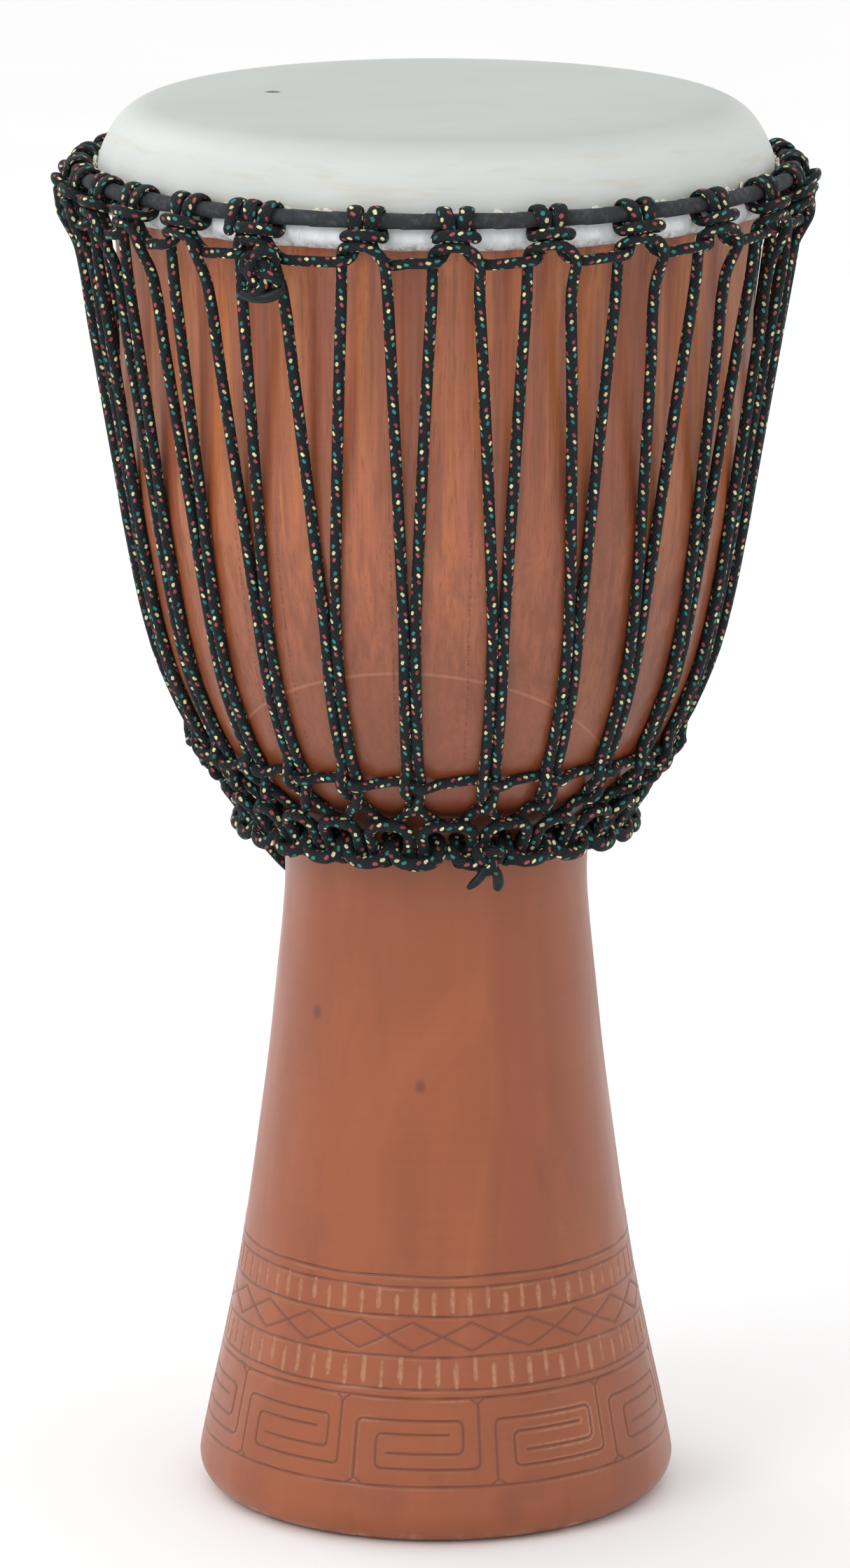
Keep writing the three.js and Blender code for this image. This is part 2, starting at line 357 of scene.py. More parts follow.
class Graph:
    """A material's node tree, built with plain calls. Values are numbers, colours or sockets."""

    def __init__(self, name):
        self.material = bpy.data.materials.new(name)
        self.material.use_nodes = True
        self.tree = self.material.node_tree
        self.shader = self.tree.nodes["Principled BSDF"]

    def node(self, kind, **settings):
        node = self.tree.nodes.new(kind)
        for key, value in settings.items():
            setattr(node, key, value)
        return node

    def feed(self, socket, value):
        if isinstance(value, bpy.types.NodeSocket):
            self.tree.links.new(value, socket)
        else:
            socket.default_value = value

    def math(self, operation, *values):
        node = self.node("ShaderNodeMath", operation=operation)
        for socket, value in zip(node.inputs, values, strict=False):
            self.feed(socket, value)
        return node.outputs[0]

    def times(self, product, *factors):
        for factor in factors:
            product = self.math("MULTIPLY", product, factor)
        return product

    def plus(self, a, b):
        return self.math("ADD", a, b)

    def minus(self, a, b):
        return self.math("SUBTRACT", a, b)

    def size(self, value):
        """The value without its sign."""
        return self.math("ABSOLUTE", value)

    def vector(self, operation, *values):
        node = self.node("ShaderNodeVectorMath", operation=operation)
        for socket, value in zip(node.inputs, values, strict=False):
            self.feed(socket, value)
        return node.outputs["Value" if operation == "DISTANCE" else "Vector"]

    def split(self, vector):
        node = self.node("ShaderNodeSeparateXYZ")
        self.feed(node.inputs[0], vector)
        return node.outputs[0], node.outputs[1], node.outputs[2]

    def join(self, x, y, z):
        node = self.node("ShaderNodeCombineXYZ")
        for socket, value in zip(node.inputs, (x, y, z), strict=True):
            self.feed(socket, value)
        return node.outputs[0]

    def place(self):
        """Where the point is in the object, which is the row frame, in metres."""
        return self.node("ShaderNodeTexCoord").outputs["Object"]

    def along(self):
        """How far round a rope or a tape the point is, and how far along it."""
        around, along, _ = self.split(self.node("ShaderNodeUVMap", uv_map="along").outputs[0])
        return around, along

    def random(self, dimensions, socket, value):
        """A number from 0 to 1 that differs from one whole value to the next."""
        node = self.node("ShaderNodeTexWhiteNoise", noise_dimensions=dimensions)
        self.feed(node.inputs[socket], value)
        return node.outputs[0]

    def attribute(self, name):
        return self.node("ShaderNodeAttribute", attribute_name=name).outputs["Fac"]

    def noise(self, vector, stretch, detail=2.0, roughness=0.5, distortion=0.0):
        """Noise from 0 to 1, with its lumps about 1 / stretch metres across."""
        node = self.node("ShaderNodeTexNoise")
        self.feed(node.inputs["Vector"], self.vector("MULTIPLY", vector, stretch))
        settings = {"Scale": 1.0, "Detail": detail, "Roughness": roughness, "Distortion": distortion}
        for key, value in settings.items():
            node.inputs[key].default_value = value
        return node.outputs[0]

    def ramp(self, value, low, high, to_low=0.0, to_high=1.0):
        """value from low..high to to_low..to_high, smooth at both ends and held beyond them."""
        node = self.node("ShaderNodeMapRange", interpolation_type="SMOOTHSTEP")
        for socket, number in zip(node.inputs, (value, low, high, to_low, to_high), strict=False):
            self.feed(socket, number)
        return node.outputs[0]

    def near(self, distance, full, none, strength=1.0):
        """strength up to the distance full, and smoothly less up to none."""
        return self.ramp(distance, full, none, strength, 0.0)

    def between(self, value, low, low_full, high_full, high):
        """1 from low_full to high_full, and smoothly less down to low and up to high."""
        return self.times(self.ramp(value, low, low_full), self.ramp(value, high_full, high, 1.0, 0.0))

    def mix(self, factor, a, b, blend="MIX"):
        node = self.node("ShaderNodeMix", data_type="RGBA", blend_type=blend)
        self.feed(node.inputs[0], factor)
        self.feed(node.inputs[6], a)
        self.feed(node.inputs[7], b)
        return node.outputs[2]

    def lay(self, base, over, mask, strength):
        """The base under a colour that is as strong as the mask times strength."""
        return self.mix(self.times(mask, strength), base, over)

    def shade(self, colour, factor):
        """The colour times a grey factor."""
        return self.mix(1.0, colour, self.grey(factor), "MULTIPLY")

    def grey(self, value):
        node = self.node("ShaderNodeCombineColor")
        for socket in node.inputs:
            self.feed(socket, value)
        return node.outputs[0]

    def bump(self, height, distance, strength):
        node = self.node("ShaderNodeBump")
        node.inputs["Distance"].default_value = distance
        node.inputs["Strength"].default_value = strength
        self.feed(node.inputs["Height"], height)
        return node.outputs[0]

    def finish(self, colour, roughness, normal=None, **constants):
        self.feed(self.shader.inputs["Base Color"], colour)
        self.feed(self.shader.inputs["Roughness"], roughness)
        if normal is not None:
            self.feed(self.shader.inputs["Normal"], normal)
        for key, value in constants.items():
            self.shader.inputs[key.replace("_", " ")].default_value = value
        return self.material


def colour(red, green, blue):
    return (red, green, blue, 1.0)


BRAID_BLACK = colour(0.006, 0.009, 0.011)
FLECK_RED = colour(0.37, 0.07, 0.078)
FLECK_CREAM = colour(0.78, 0.72, 0.39)
FLECK_TEAL = colour(0.026, 0.225, 0.20)
FLECK_ROWS = 4
FLECK_PITCH = 3.1
FLECK_COLOURS = 4
FLECK_SHIFT = 1.7
FLECK_HALF_WIDTH, FLECK_HALF_LENGTH = 0.66, 1.02
FLECK_COS, FLECK_SIN = 0.88, 0.47
CARRIERS = 8
CARRIER_PITCH = 2.6
TWIST_LENGTH = 170.0
TAPE_DARK = colour(0.026, 0.029, 0.033)
TAPE_LIGHT = colour(0.065, 0.07, 0.077)
TAPE_WARP, TAPE_WEFT = 0.5, 0.6


def fleck_cells(g, twisted, v):
    """The row and the cell in it that a point is in, 1 on odd rows, and the place in the cell in mm."""
    rows = g.times(twisted, FLECK_ROWS)
    row = g.math("FLOOR", rows)
    odd = g.math("FLOORED_MODULO", row, 2)
    across = g.times(g.minus(g.math("FRACT", rows), 0.5), math.pi * ROPE / FLECK_ROWS)
    cells = g.plus(g.math("DIVIDE", v, FLECK_PITCH), g.times(odd, FLECK_SHIFT))
    along = g.times(g.minus(g.math("FRACT", cells), 0.5), FLECK_PITCH)
    return row, g.math("FLOOR", cells), odd, across, along


def fleck_shape(g, row, odd, across, along, v):
    """1 in a fleck, a rounded block that leans the other way on each row, and 0 past its ragged edge."""
    side = g.times(across, g.math("MULTIPLY_ADD", odd, -2.0, 1.0))
    lean_x = g.plus(g.times(side, FLECK_COS), g.times(along, FLECK_SIN))
    lean_y = g.minus(g.times(along, FLECK_COS), g.times(side, FLECK_SIN))
    ragged = g.noise(g.join(across, v, row), (1.7, 1.3, 3.1), 1.0)
    wide = g.math("POWER", g.size(g.math("DIVIDE", lean_x, FLECK_HALF_WIDTH)), 3.0)
    long = g.math("POWER", g.size(g.math("DIVIDE", lean_y, FLECK_HALF_LENGTH)), 3.0)
    return g.near(g.plus(g.plus(wide, long), g.times(ragged, 0.6)), 1.05, 1.5)


def fleck_colour(g, row, cell):
    """Red, cream, teal and none in turn along a row: the colour, and 1 where there is one."""
    which = g.math("FLOORED_MODULO", cell, FLECK_COLOURS)
    fleck = g.mix(g.math("GREATER_THAN", which, 0.5), FLECK_RED, FLECK_CREAM)
    fleck = g.mix(g.math("GREATER_THAN", which, 1.5), fleck, FLECK_TEAL)
    number = g.random("2D", "Vector", g.join(cell, row, 0.0))
    fleck = g.shade(fleck, g.ramp(number, 0.0, 1.0, 0.7, 1.1))
    return fleck, g.math("LESS_THAN", which, FLECK_COLOURS - 1.5)


def braid_weave(g, twisted, v):
    """Height from 0 to 1 of the yarns that cross each other both ways round the rope."""
    turn = g.times(twisted, CARRIERS)
    rise = g.math("DIVIDE", v, CARRIER_PITCH)
    left, right = [
        g.size(g.math("SINE", g.times(way, math.pi))) for way in (g.plus(turn, rise), g.minus(turn, rise))
    ]
    return g.math("POWER", g.times(left, right), 0.5)


def braided_rope():
    """Black braid with red, cream and teal flecks in turn along its rows, painted shade between the yarns
    and painted light on their tops.
    """
    g = Graph("braided_rope")
    u, v = g.along()
    twisted = g.plus(u, g.math("DIVIDE", v, TWIST_LENGTH))
    row, cell, odd, across, along = fleck_cells(g, twisted, v)
    inside = fleck_shape(g, row, odd, across, along, v)
    fleck, shown = fleck_colour(g, row, cell)
    melted = g.attribute("melted")
    solid = g.minus(1.0, melted)
    weave = braid_weave(g, twisted, v)
    dust = g.noise(g.place(), (240, 240, 240), 3.0)
    # Painted shade in the hollows between the yarns and painted light on their tops, with paler dust over
    # them
    weave_shade_and_wear = g.plus(g.ramp(weave, 0.1, 0.9, 0.55, 1.25), g.ramp(dust, 0.5, 0.75, 0.0, 0.6))
    base = g.mix(g.times(inside, shown, solid), g.shade(BRAID_BLACK, weave_shade_and_wear), fleck)
    fluff = g.noise(g.place(), (1500, 1500, 1500), 2.0)
    height = g.math("MULTIPLY_ADD", fluff, 0.25, g.times(weave, solid))
    rough = g.ramp(melted, 0.0, 1.0, 0.68, 0.36)
    return g.finish(base, rough, g.bump(height, 0.00045, 0.8), Specular_IOR_Level=0.25)


def cloth_tape():
    """Charcoal cloth tape, with the fine ribs of its weave, painted shade between the ribs, and lint."""
    g = Graph("cloth_tape")
    u, v = g.along()
    warp = g.math("SINE", g.times(u, 2 * math.pi / TAPE_WARP))
    weft = g.math("SINE", g.times(v, 2 * math.pi / TAPE_WEFT))
    weave = g.times(warp, weft)
    lint = g.noise(g.place(), (300, 300, 300), 4.0, 0.7)
    wear = g.noise(g.place(), (55, 55, 90), 3.0)
    # Wear in patches, and painted shade in the troughs between the weave's ribs
    weave_shade_and_wear = g.times(g.ramp(wear, 0.3, 0.7, 0.75, 1.2), g.ramp(weave, -1.0, 1.0, 0.85, 1.1))
    tone = g.shade(g.mix(g.ramp(lint, 0.45, 0.75), TAPE_DARK, TAPE_LIGHT), weave_shade_and_wear)
    height = g.math("MULTIPLY_ADD", weave, 0.3, lint)
    return g.finish(tone, g.ramp(lint, 0.3, 0.7, 0.95, 0.82), g.bump(height, 0.0003, 0.7))


def hoop_steel():
    """Plain steel rod, dulled and slightly mottled."""
    g = Graph("hoop_steel")
    mottle = g.noise(g.place(), (90, 90, 90), 4.0, 0.6)
    fine = g.noise(g.place(), (900, 900, 900), 2.0)
    tone = g.mix(g.ramp(mottle, 0.35, 0.7), colour(0.42, 0.43, 0.44), colour(0.22, 0.2, 0.19))
    rough = g.ramp(mottle, 0.3, 0.7, 0.32, 0.55)
    return g.finish(tone, rough, g.bump(fine, 0.0001, 0.4), Metallic=1.0)


SKIN_PALE = colour(0.47, 0.495, 0.47)
SKIN_COOL = colour(0.43, 0.462, 0.442)
# Painted light: the paler colour of the rim, which turns down away from the light
SKIN_RIM_PAINTED_LIGHT = colour(0.60, 0.63, 0.61)
SKIN_TAN = colour(0.53, 0.47, 0.37)
SKIN_WRAP = colour(0.93, 0.96, 0.98)
SKIN_CUT = colour(0.74, 0.66, 0.50)
GRIME = colour(0.17, 0.12, 0.085)
# The one dark hair spot on the head
HAIR_DOT = (-0.0725, 0.0045, 0.64)
HAIR_BLACK = colour(0.02, 0.017, 0.014)


def head_skin(g, p, streak):
    """The flat of the head: cool clouds, streaks, tan smudges, painted light on the rim, which is
    coloured paler, and one hair spot.
    """
    cloud = g.noise(p, (9, 14, 9), 4.0, 0.6, 0.4)
    base = g.mix(g.ramp(cloud, 0.3, 0.72), SKIN_PALE, SKIN_COOL)
    base = g.shade(base, g.ramp(streak, 0.25, 0.8, 0.965, 1.03))
    smudge = g.noise(p, (17, 26, 17), 5.0, 0.65, 0.8)
    base = g.mix(g.ramp(smudge, 0.62, 0.8, 0.0, 0.28), base, SKIN_TAN)
    rim = g.attribute("rim")
    # Painted light: the rim coloured paler than the flat
    base = g.mix(rim, base, SKIN_RIM_PAINTED_LIGHT)
    line = g.noise(p, (30, 30, 220), 3.0, 0.6)
    base = g.mix(g.times(rim, g.ramp(line, 0.45, 0.75, 0.05, 0.45)), base, SKIN_TAN)
    spot = g.vector("DISTANCE", p, HAIR_DOT)
    base = g.mix(g.near(spot, 0.0024, 0.0042), base, HAIR_BLACK)
    return g.mix(g.near(spot, 0.002, 0.011, 0.12), base, SKIN_TAN)


def collar_skin(g, p, base):
    """The tucked collar over the base: painted fold shading, grime, stray hairs and the yellow cut edge.
    """
    wrap = g.attribute("wrap")
    fold = g.noise(p, (260, 260, 120), 4.0, 0.65, 0.5)
    # Painted shade and light of the folds: the white collar darker and lighter with a noise
    base = g.mix(wrap, base, g.shade(SKIN_WRAP, g.ramp(fold, 0.3, 0.75, 0.9, 1.06)))
    base = g.lay(base, GRIME, g.times(g.attribute("grime"), g.ramp(fold, 0.38, 0.66)), 0.75)
    hairs = g.noise(p, (700, 700, 60), 2.0, 0.5, 1.2)
    base = g.mix(g.times(wrap, g.ramp(hairs, 0.66, 0.74, 0.0, 0.4)), base, GRIME)
    return g.lay(base, SKIN_CUT, g.attribute("cut"), 0.8)


def goatskin():
    """Pale scraped skin: faint streaks and tan smudges on the head, grime on the tucked collar."""
    g = Graph("goatskin")
    p = g.place()
    streak = g.noise(p, (14, 120, 40), 3.0, 0.6, 0.6)
    base = collar_skin(g, p, head_skin(g, p, streak))
    pores = g.noise(p, (1400, 1400, 1400), 2.0)
    height = g.plus(g.times(pores, 0.35), g.times(streak, 0.6))
    rough = g.ramp(streak, 0.2, 0.8, 0.42, 0.55)
    return g.finish(base, rough, g.bump(height, 0.00012, 0.5), Specular_IOR_Level=0.4)


WOOD_DEEP = colour(0.235, 0.062, 0.026)
WOOD_MID = colour(0.335, 0.097, 0.043)
WOOD_BRIGHT = colour(0.395, 0.125, 0.062)
WOOD_ORANGE = colour(0.42, 0.132, 0.04)
WOOD_PALE = colour(0.46, 0.215, 0.115)
# Dark stain and painted shade in the grooves
WOOD_GROOVE = colour(0.14, 0.034, 0.012)
FOOT_TINT = colour(0.87, 0.74, 0.50)
BOWL_TINT = colour(0.90, 0.89, 0.88)
# Dark stain of the vessels, knots and smoke, also used for the painted shade at the waist
WOOD_STAIN_AND_SHADE = colour(0.11, 0.026, 0.014)
# Painted shade with some dirt, dark orange, just above the pull row
WOOD_SHADE_AND_DIRT_ORANGE = colour(0.20, 0.045, 0.014)
WOOD_CHIPPED = colour(0.62, 0.38, 0.25)
ARCH_CENTRE = -6.0
ARCH_TOP = 0.404
ARCH_DROP = 1.9e-5
ARCHES = 3
VESSELS = 34
# Heights in metres of the parts that follow the turning, from where each begins to where it ends
WAIST_BLEND = (0.30, 0.36)
# Painted shade with some dirt: the dark band where the bowl curves in over the waist
WAIST_SHADE_AND_DIRT = (0.315, 0.327, 0.335, 0.350)
# Painted shade with some dirt: the dark orange band just above the pull row
ORANGE_SHADE_AND_DIRT_BAND = (0.3525, 0.356, 0.359, 0.367)
BLOCK_START = (0.325, 0.34)
VESSEL_ZONE = (0.345, 0.36, 0.44, 0.50)
# Knots and smudges on the foot: azimuth, height, radius and strength
WOOD_MARKS = [
    (-5.4, 0.205, 0.0026, 0.62), (-47.0, 0.233, 0.0030, 0.62), (20.0, 0.30, 0.0020, 0.5),
    (18.0, 0.018, 0.0080, 0.28), (24.0, 0.026, 0.0070, 0.2), (-11.5, 0.022, 0.0090, 0.2),
]


def on_part(g, bowl, foot_value, bowl_value):
    """One value on the foot and another on the bowl, blended at the waist."""
    return g.ramp(bowl, 0.0, 1.0, foot_value, bowl_value)


def wood_clouds(g, p, z, bowl):
    """The wood's colour, with clouds, brighter patches and orange bands up the bowl."""
    cloud = g.noise(p, (11, 11, 3.2), 4.0, 0.6, 0.7)
    base = g.mix(g.ramp(cloud, 0.30, 0.62, on_part(g, bowl, 0.5, 0.0), 1.0), WOOD_DEEP, WOOD_MID)
    patch = g.noise(p, (21, 21, 7), 3.0, 0.55, 1.0)
    base = g.mix(g.ramp(patch, 0.5, 0.78, 0.0, 0.75), base, WOOD_BRIGHT)
    band = g.noise(p, (80, 80, 1.5), 3.0, 0.6, 0.3)
    share = g.times(on_part(g, bowl, 0.05, 0.85), g.ramp(z, 0.40, 0.50, 0.25, 1.0))
    return g.lay(base, WOOD_ORANGE, g.ramp(band, 0.46, 0.60), share)


def wood_grain(g, p, x, z, bowl):
    """Colour with its fine upright streaks, turning rings, pores and tint, then painted light: the bowl
    darker low down and paler towards its top, and the wood lighter on the left than on the right; the
    pores and streaks.
    """
    base = wood_clouds(g, p, z, bowl)
    streak = g.noise(p, (330, 330, 9), 3.0, 0.6, 0.3)
    deep, pale = on_part(g, bowl, 0.985, 0.78), on_part(g, bowl, 1.01, 1.10)
    base = g.shade(base, g.ramp(streak, 0.3, 0.7, deep, pale))
    turned = g.noise(p, (5, 5, 650), 3.0, 0.7)
    base = g.shade(base, g.ramp(turned, 0.3, 0.7, 0.975, 1.02))
    pore = g.noise(p, (1100, 1100, 75), 2.0, 0.5, 0.2)
    pores = g.times(g.ramp(pore, 0.58, 0.70), on_part(g, bowl, 0.05, 0.6))
    base = g.mix(pores, base, WOOD_DEEP)
    base = g.mix(1.0, base, g.mix(bowl, FOOT_TINT, BOWL_TINT), "MULTIPLY")
    # Painted light: the bowl coloured darker low down and paler towards its top
    base = g.shade(base, g.ramp(z, 0.36, 0.56, on_part(g, bowl, 1.0, 0.9), 1.26))
    # Painted light: the wood coloured lighter on the left side and darker on the right
    base = g.shade(base, g.ramp(x, -0.05, 0.08, 1.08, 0.93))
    return base, pores, g.times(streak, on_part(g, bowl, 0.15, 1.0))


def wood_blocks(g, base, azimuth, z):
    """Darker wood below the arched joints of the glued blocks, with a thin pale line on each joint."""
    half = 180.0 / ARCHES
    off = g.math("WRAP", g.minus(azimuth, ARCH_CENTRE), half, -half)
    arch = g.math("MULTIPLY_ADD", g.times(off, off), -ARCH_DROP, ARCH_TOP)
    above = g.minus(z, arch)
    beside = g.near(g.size(off), 38.0, 52.0)
    above_foot = g.ramp(z, *BLOCK_START)
    below = g.times(g.near(above, -0.0012, 0.0004), beside, above_foot)
    base = g.lay(base, WOOD_DEEP, below, 0.42)
    line = g.times(g.near(g.size(above), 0.0003, 0.0010), beside, above_foot)
    return g.lay(base, WOOD_PALE, line, 0.35)


def wood_vessels(g, base, azimuth, z, p):
    """Thin dotted vertical lines that run down the lower bowl."""
    lanes = g.times(azimuth, VESSELS / 360)
    lane = g.math("FLOOR", lanes)
    centre = g.ramp(g.random("1D", "W", lane), 0.0, 1.0, 0.15, 0.85)
    drift = g.times(g.minus(g.noise(p, (8, 8, 14), 1.0), 0.5), 0.16)
    off = g.minus(g.minus(g.math("FRACT", lanes), centre), drift)
    thin = g.near(g.size(off), 0.012, 0.035)
    dash = g.ramp(g.noise(g.join(lane, 0.0, z), (7.3, 1, 520), 2.0, 0.7), 0.44, 0.56)
    mask = g.times(thin, dash, g.between(z, *VESSEL_ZONE))
    return g.lay(base, WOOD_STAIN_AND_SHADE, mask, 0.55)


def wood_marks(g, base, p):
    """Dark knots and faint smudges on the foot."""
    for azimuth, z, radius, strength in WOOD_MARKS:
        at = place(azimuth, wood_radius(z / MM), z / MM) * MM
        gap = g.vector("DISTANCE", g.vector("MULTIPLY", p, (1, 1, 0.8)), tuple(at * [1, 1, 0.8]))
        base = g.mix(g.near(gap, radius * 0.35, radius * 1.3, strength), base, WOOD_STAIN_AND_SHADE)
    return base


def wood_wear_and_shade(g, base, p, z):
    """Painted shade with some dirt: a dark band and a dark orange band at the waist; smoky clouds, and
    pale scuffs round the drum.
    """
    # Painted shade with some dirt under the bowl's inward curve
    base = g.lay(base, WOOD_STAIN_AND_SHADE, g.between(z, *WAIST_SHADE_AND_DIRT), 0.55)
    # Painted shade with some dirt just above the pull row
    base = g.lay(base, WOOD_SHADE_AND_DIRT_ORANGE, g.between(z, *ORANGE_SHADE_AND_DIRT_BAND), 0.5)
    smoke = g.noise(p, (26, 26, 11), 5.0, 0.7, 1.2)
    base = g.mix(g.ramp(smoke, 0.54, 0.80, 0.0, 0.30), base, WOOD_STAIN_AND_SHADE)
    scuff = g.noise(p, (60, 60, 700), 3.0, 0.7, 2.0)
    scuffs = g.times(g.ramp(scuff, 0.70, 0.78), g.ramp(z, 0.27, 0.31, 0.25, 0.9))
    return g.lay(base, WOOD_PALE, scuffs, 0.35)


def wood_cuts(g, base, p):
    """Pale gouges with painted highlights under the ring grooves, grooves darkened by stain and painted
    shade, and the chipped edge.
    """
    rough_cut = g.ramp(g.noise(p, (420, 420, 420), 3.0), 0.36, 0.58, 0.45, 0.9)
    # Pale gouges and wear, and painted highlights under the ring grooves
    base = g.lay(base, WOOD_PALE, g.attribute("gouge_and_highlight"), rough_cut)
    # Groove darkening: dark stain and painted shade in the cuts
    base = g.lay(base, WOOD_GROOVE, g.attribute("groove"), 0.85)
    patchy = g.ramp(g.noise(p, (260, 260, 260), 3.0), 0.36, 0.56)
    return g.lay(base, WOOD_CHIPPED, g.times(g.attribute("worn"), patchy), 0.8)


def carved_wood():
    """Satin mahogany: grain, glued blocks, vessels, knots, grooves in stain and painted shade, pale
    gouges with painted lip highlights, and painted light and shade on the bowl and waist.
    """
    g = Graph("carved_wood")
    p = g.place()
    x, y, z = g.split(p)
    azimuth = g.math("DEGREES", g.math("ARCTAN2", x, g.times(y, -1.0)))
    base, pores, streak = wood_grain(g, p, x, z, g.ramp(z, *WAIST_BLEND))
    base = wood_blocks(g, base, azimuth, z)
    base = wood_vessels(g, base, azimuth, z, p)
    base = wood_marks(g, base, p)
    base = wood_wear_and_shade(g, base, p, z)
    base = wood_cuts(g, base, p)
    height = g.minus(g.times(streak, 0.25), pores)
    sheen = g.noise(p, (35, 35, 12), 3.0)
    rough = g.ramp(sheen, 0.3, 0.7, 0.30, 0.42)
    return g.finish(base, rough, g.bump(height, 0.00018, 0.6), Specular_IOR_Level=0.55)


def pale_floor():
    """Near white studio floor, with the faintest mottle."""
    g = Graph("pale_floor")
    mottle = g.noise(g.place(), (3, 3, 3), 3.0)
    tone = g.mix(g.ramp(mottle, 0.3, 0.7), colour(0.97, 0.97, 0.97), colour(0.955, 0.955, 0.955))
    return g.finish(tone, 0.8)


# ---- Wood profile, (radius, height) from the foot's edge to the bearing edge ----

FOOT_R = 108.3
FOOT_ROUND = 14.0
FOOT_SIDE = [
    (104.2, 35.7), (97, 69.1), (90.4, 102.5), (85.3, 135.8), (80.6, 169), (76.1, 202),
    (72.5, 235), (69.2, 267), (68.0, 285), (68.3, 300), (68.6, 312), (69.3, 319),
]
BOWL_SIDE = [
    (73, 323.5), (80, 327.5), (88, 332), (94.5, 337.5), (99.5, 344), (104.2, 351), (108.6, 358.5),
    (113, 367), (117, 376), (121, 385.5), (126.3, 403), (130.7, 422.5), (134.3, 442), (137.6, 461),
    (139.3, 480), (140.4, 500), (141, 520), (141.3, 540), (141.6, 555), (142.2, 570), (143.3, 582),
    (144.6, 590), (145.7, 601), (147.6, 605.4), (148.7, 609.5), (147.3, 614.9), (144.2, 621.7),
    (140.4, 628), (135.6, 632.4), (129.5, 635.4), (126, 636.3),
]
INSIDE = [
    (124.5, 633), (127, 560), (122, 480), (112, 420), (93, 370), (70, 338), (50, 316), (44, 290),
    (54, 200), (78, 30), (86, 0),
]


def foot_edge(steps=10):
    """The rounded edge between the rest face and the foot's side."""
    centre = FOOT_R - FOOT_ROUND
    turn = [math.radians(90 * i / steps) for i in range(steps + 1)]
    return [(centre + FOOT_ROUND * math.sin(a), FOOT_ROUND * (1 - math.cos(a))) for a in turn]


def smooth_profile(points, step):
    """The (radius, height) points joined by a smooth curve."""
    flat = [(r, z, 0.0) for r, z in points]
    return smooth(flat, step=step)[:, :2]


OUTSIDE = smooth_profile([*foot_edge(), *FOOT_SIDE, *BOWL_SIDE], 1.0)
PROFILE_R, PROFILE_Z = OUTSIDE[:, 0], OUTSIDE[:, 1]


def wood_radius(z):
    return np.interp(z, PROFILE_Z, PROFILE_R)


LYING_GAP = 0.15
LYING_FROM, LYING_TO = 322, 600


def lying_profile():
    """Where the centre of a rope lies on the wood: the profile moved out by the rope's radius."""
    slope = np.gradient(OUTSIDE, axis=0)
    normal = unit(np.column_stack([slope[:, 1], -slope[:, 0]]))
    line = OUTSIDE + normal * (ROPE_R + LYING_GAP)
    line = line[(line[:, 1] > LYING_FROM) & (line[:, 1] < LYING_TO)]
    return line[np.argsort(line[:, 1])]


LYING = lying_profile()


def lying_radius(z):
    return np.interp(z, LYING[:, 1], LYING[:, 0])


# ---- Carry loop, the free cord ----

CARRY_LOOP = [
    (-90, 36, 313), (-87.3, 38.3, 305.5), (-84, 41.4, 298), (-79.7, 45.8, 290.5),
    (-75, 50.4, 283.5), (-70, 55, 276.8), (-64, 60, 270), (-57, 65.4, 263.5),
    (-48.5, 71, 257.5), (-38.5, 76.5, 252.5), (-27.5, 81.2, 249.5), (-16, 85.2, 249),
    (-5, 88.5, 251.5), (5, 91, 256.5), (13.5, 93.2, 264), (20.5, 95, 273),
    (26, 96.3, 282.5), (30.5, 97.2, 292.5), (34, 98, 302.5), (37, 98.5, 313),
]

ROPE_MATERIAL = braided_rope()


def make_carry_loop():
    """The spare end of the lacing, hung behind the foot from the lower cradle."""
    rows = round_rows(CARRY_LOOP)
    path = smooth(np.column_stack([rows, np.zeros(len(rows))]), step=2.0)
    piece = rope_piece("carry_loop_braid", [path], 16)
    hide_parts("carry_loop")


make_carry_loop()


# ---- Cradle ropes ----

# Half a hitch on the crown hoop, from behind the bar round the hoop to the bar's middle:
# sideways from the hitch's middle, out from the hoop's centre, up from it, and how flat.
HALF_TURN = [
    (-2.8, 5.4, -3.2, 0.5), (-3.5, 5.0, 1.4, 0.9), (-4.5, 2.7, 4.5, 1.0),
    (-4.8, -0.9, 5.2, 1.0), (-4.9, -4.3, 3.0, 0.9), (-5.1, -5.3, -0.8, 0.7),
    (-6.0, -3.4, -4.6, 0.6), (-7.2, -1.0, -6.4, 0.4), (-7.9, 2.6, -7.0, 0.2),
    (-7.9, 5.7, -6.3, 0.2), (-6.6, 8.3, -5.2, 0.3), (-3.5, 10.2, -4.5, 0.45),
]
BAR = (0.0, 10.6, -4.3, 0.5)
UPPER_IN = [
    (-12.8, 6.6, -16.9, 0), (-10.4, 7.1, -16.7, 0), (-8.0, 6.6, -16.4, 0),
    (-5.8, 4.4, -14.8, 0), (-4.0, 3.5, -11.4, 0), (-3.0, 4.0, -7.2, 0.2),
]
UPPER_OUT = [
    (3.0, 4.0, -7.2, 0.2), (4.2, 3.1, -11.5, 0), (6.5, 2.4, -15.1, 0),
    (9.6, 2.7, -17.3, 0), (12.8, 4.9, -17.8, 0),
]
RUN_MIDDLE = (0.0, 6.2, -17.2, 0)
THIRD_TURN = [
    (-10.8, 9.0, -6.2, 0.3), (-11.4, 5.6, 0.5, 0.8), (-11.7, 2.7, 4.6, 1.0), (-11.7, -1.2, 5.2, 1.0),
    (-11.5, -4.6, 2.9, 0.9), (-11.0, -5.2, -1.2, 0.6), (-10.4, -3.0, -5.2, 0.3),
    (-9.2, 0.6, -7.4, 0), (-8.6, 4.4, -10.5, 0), (-6.5, 9.0, -12.6, 0),
]


def mirrored(half):
    return [(-t, out, up, flat) for t, out, up, flat in reversed(half)]


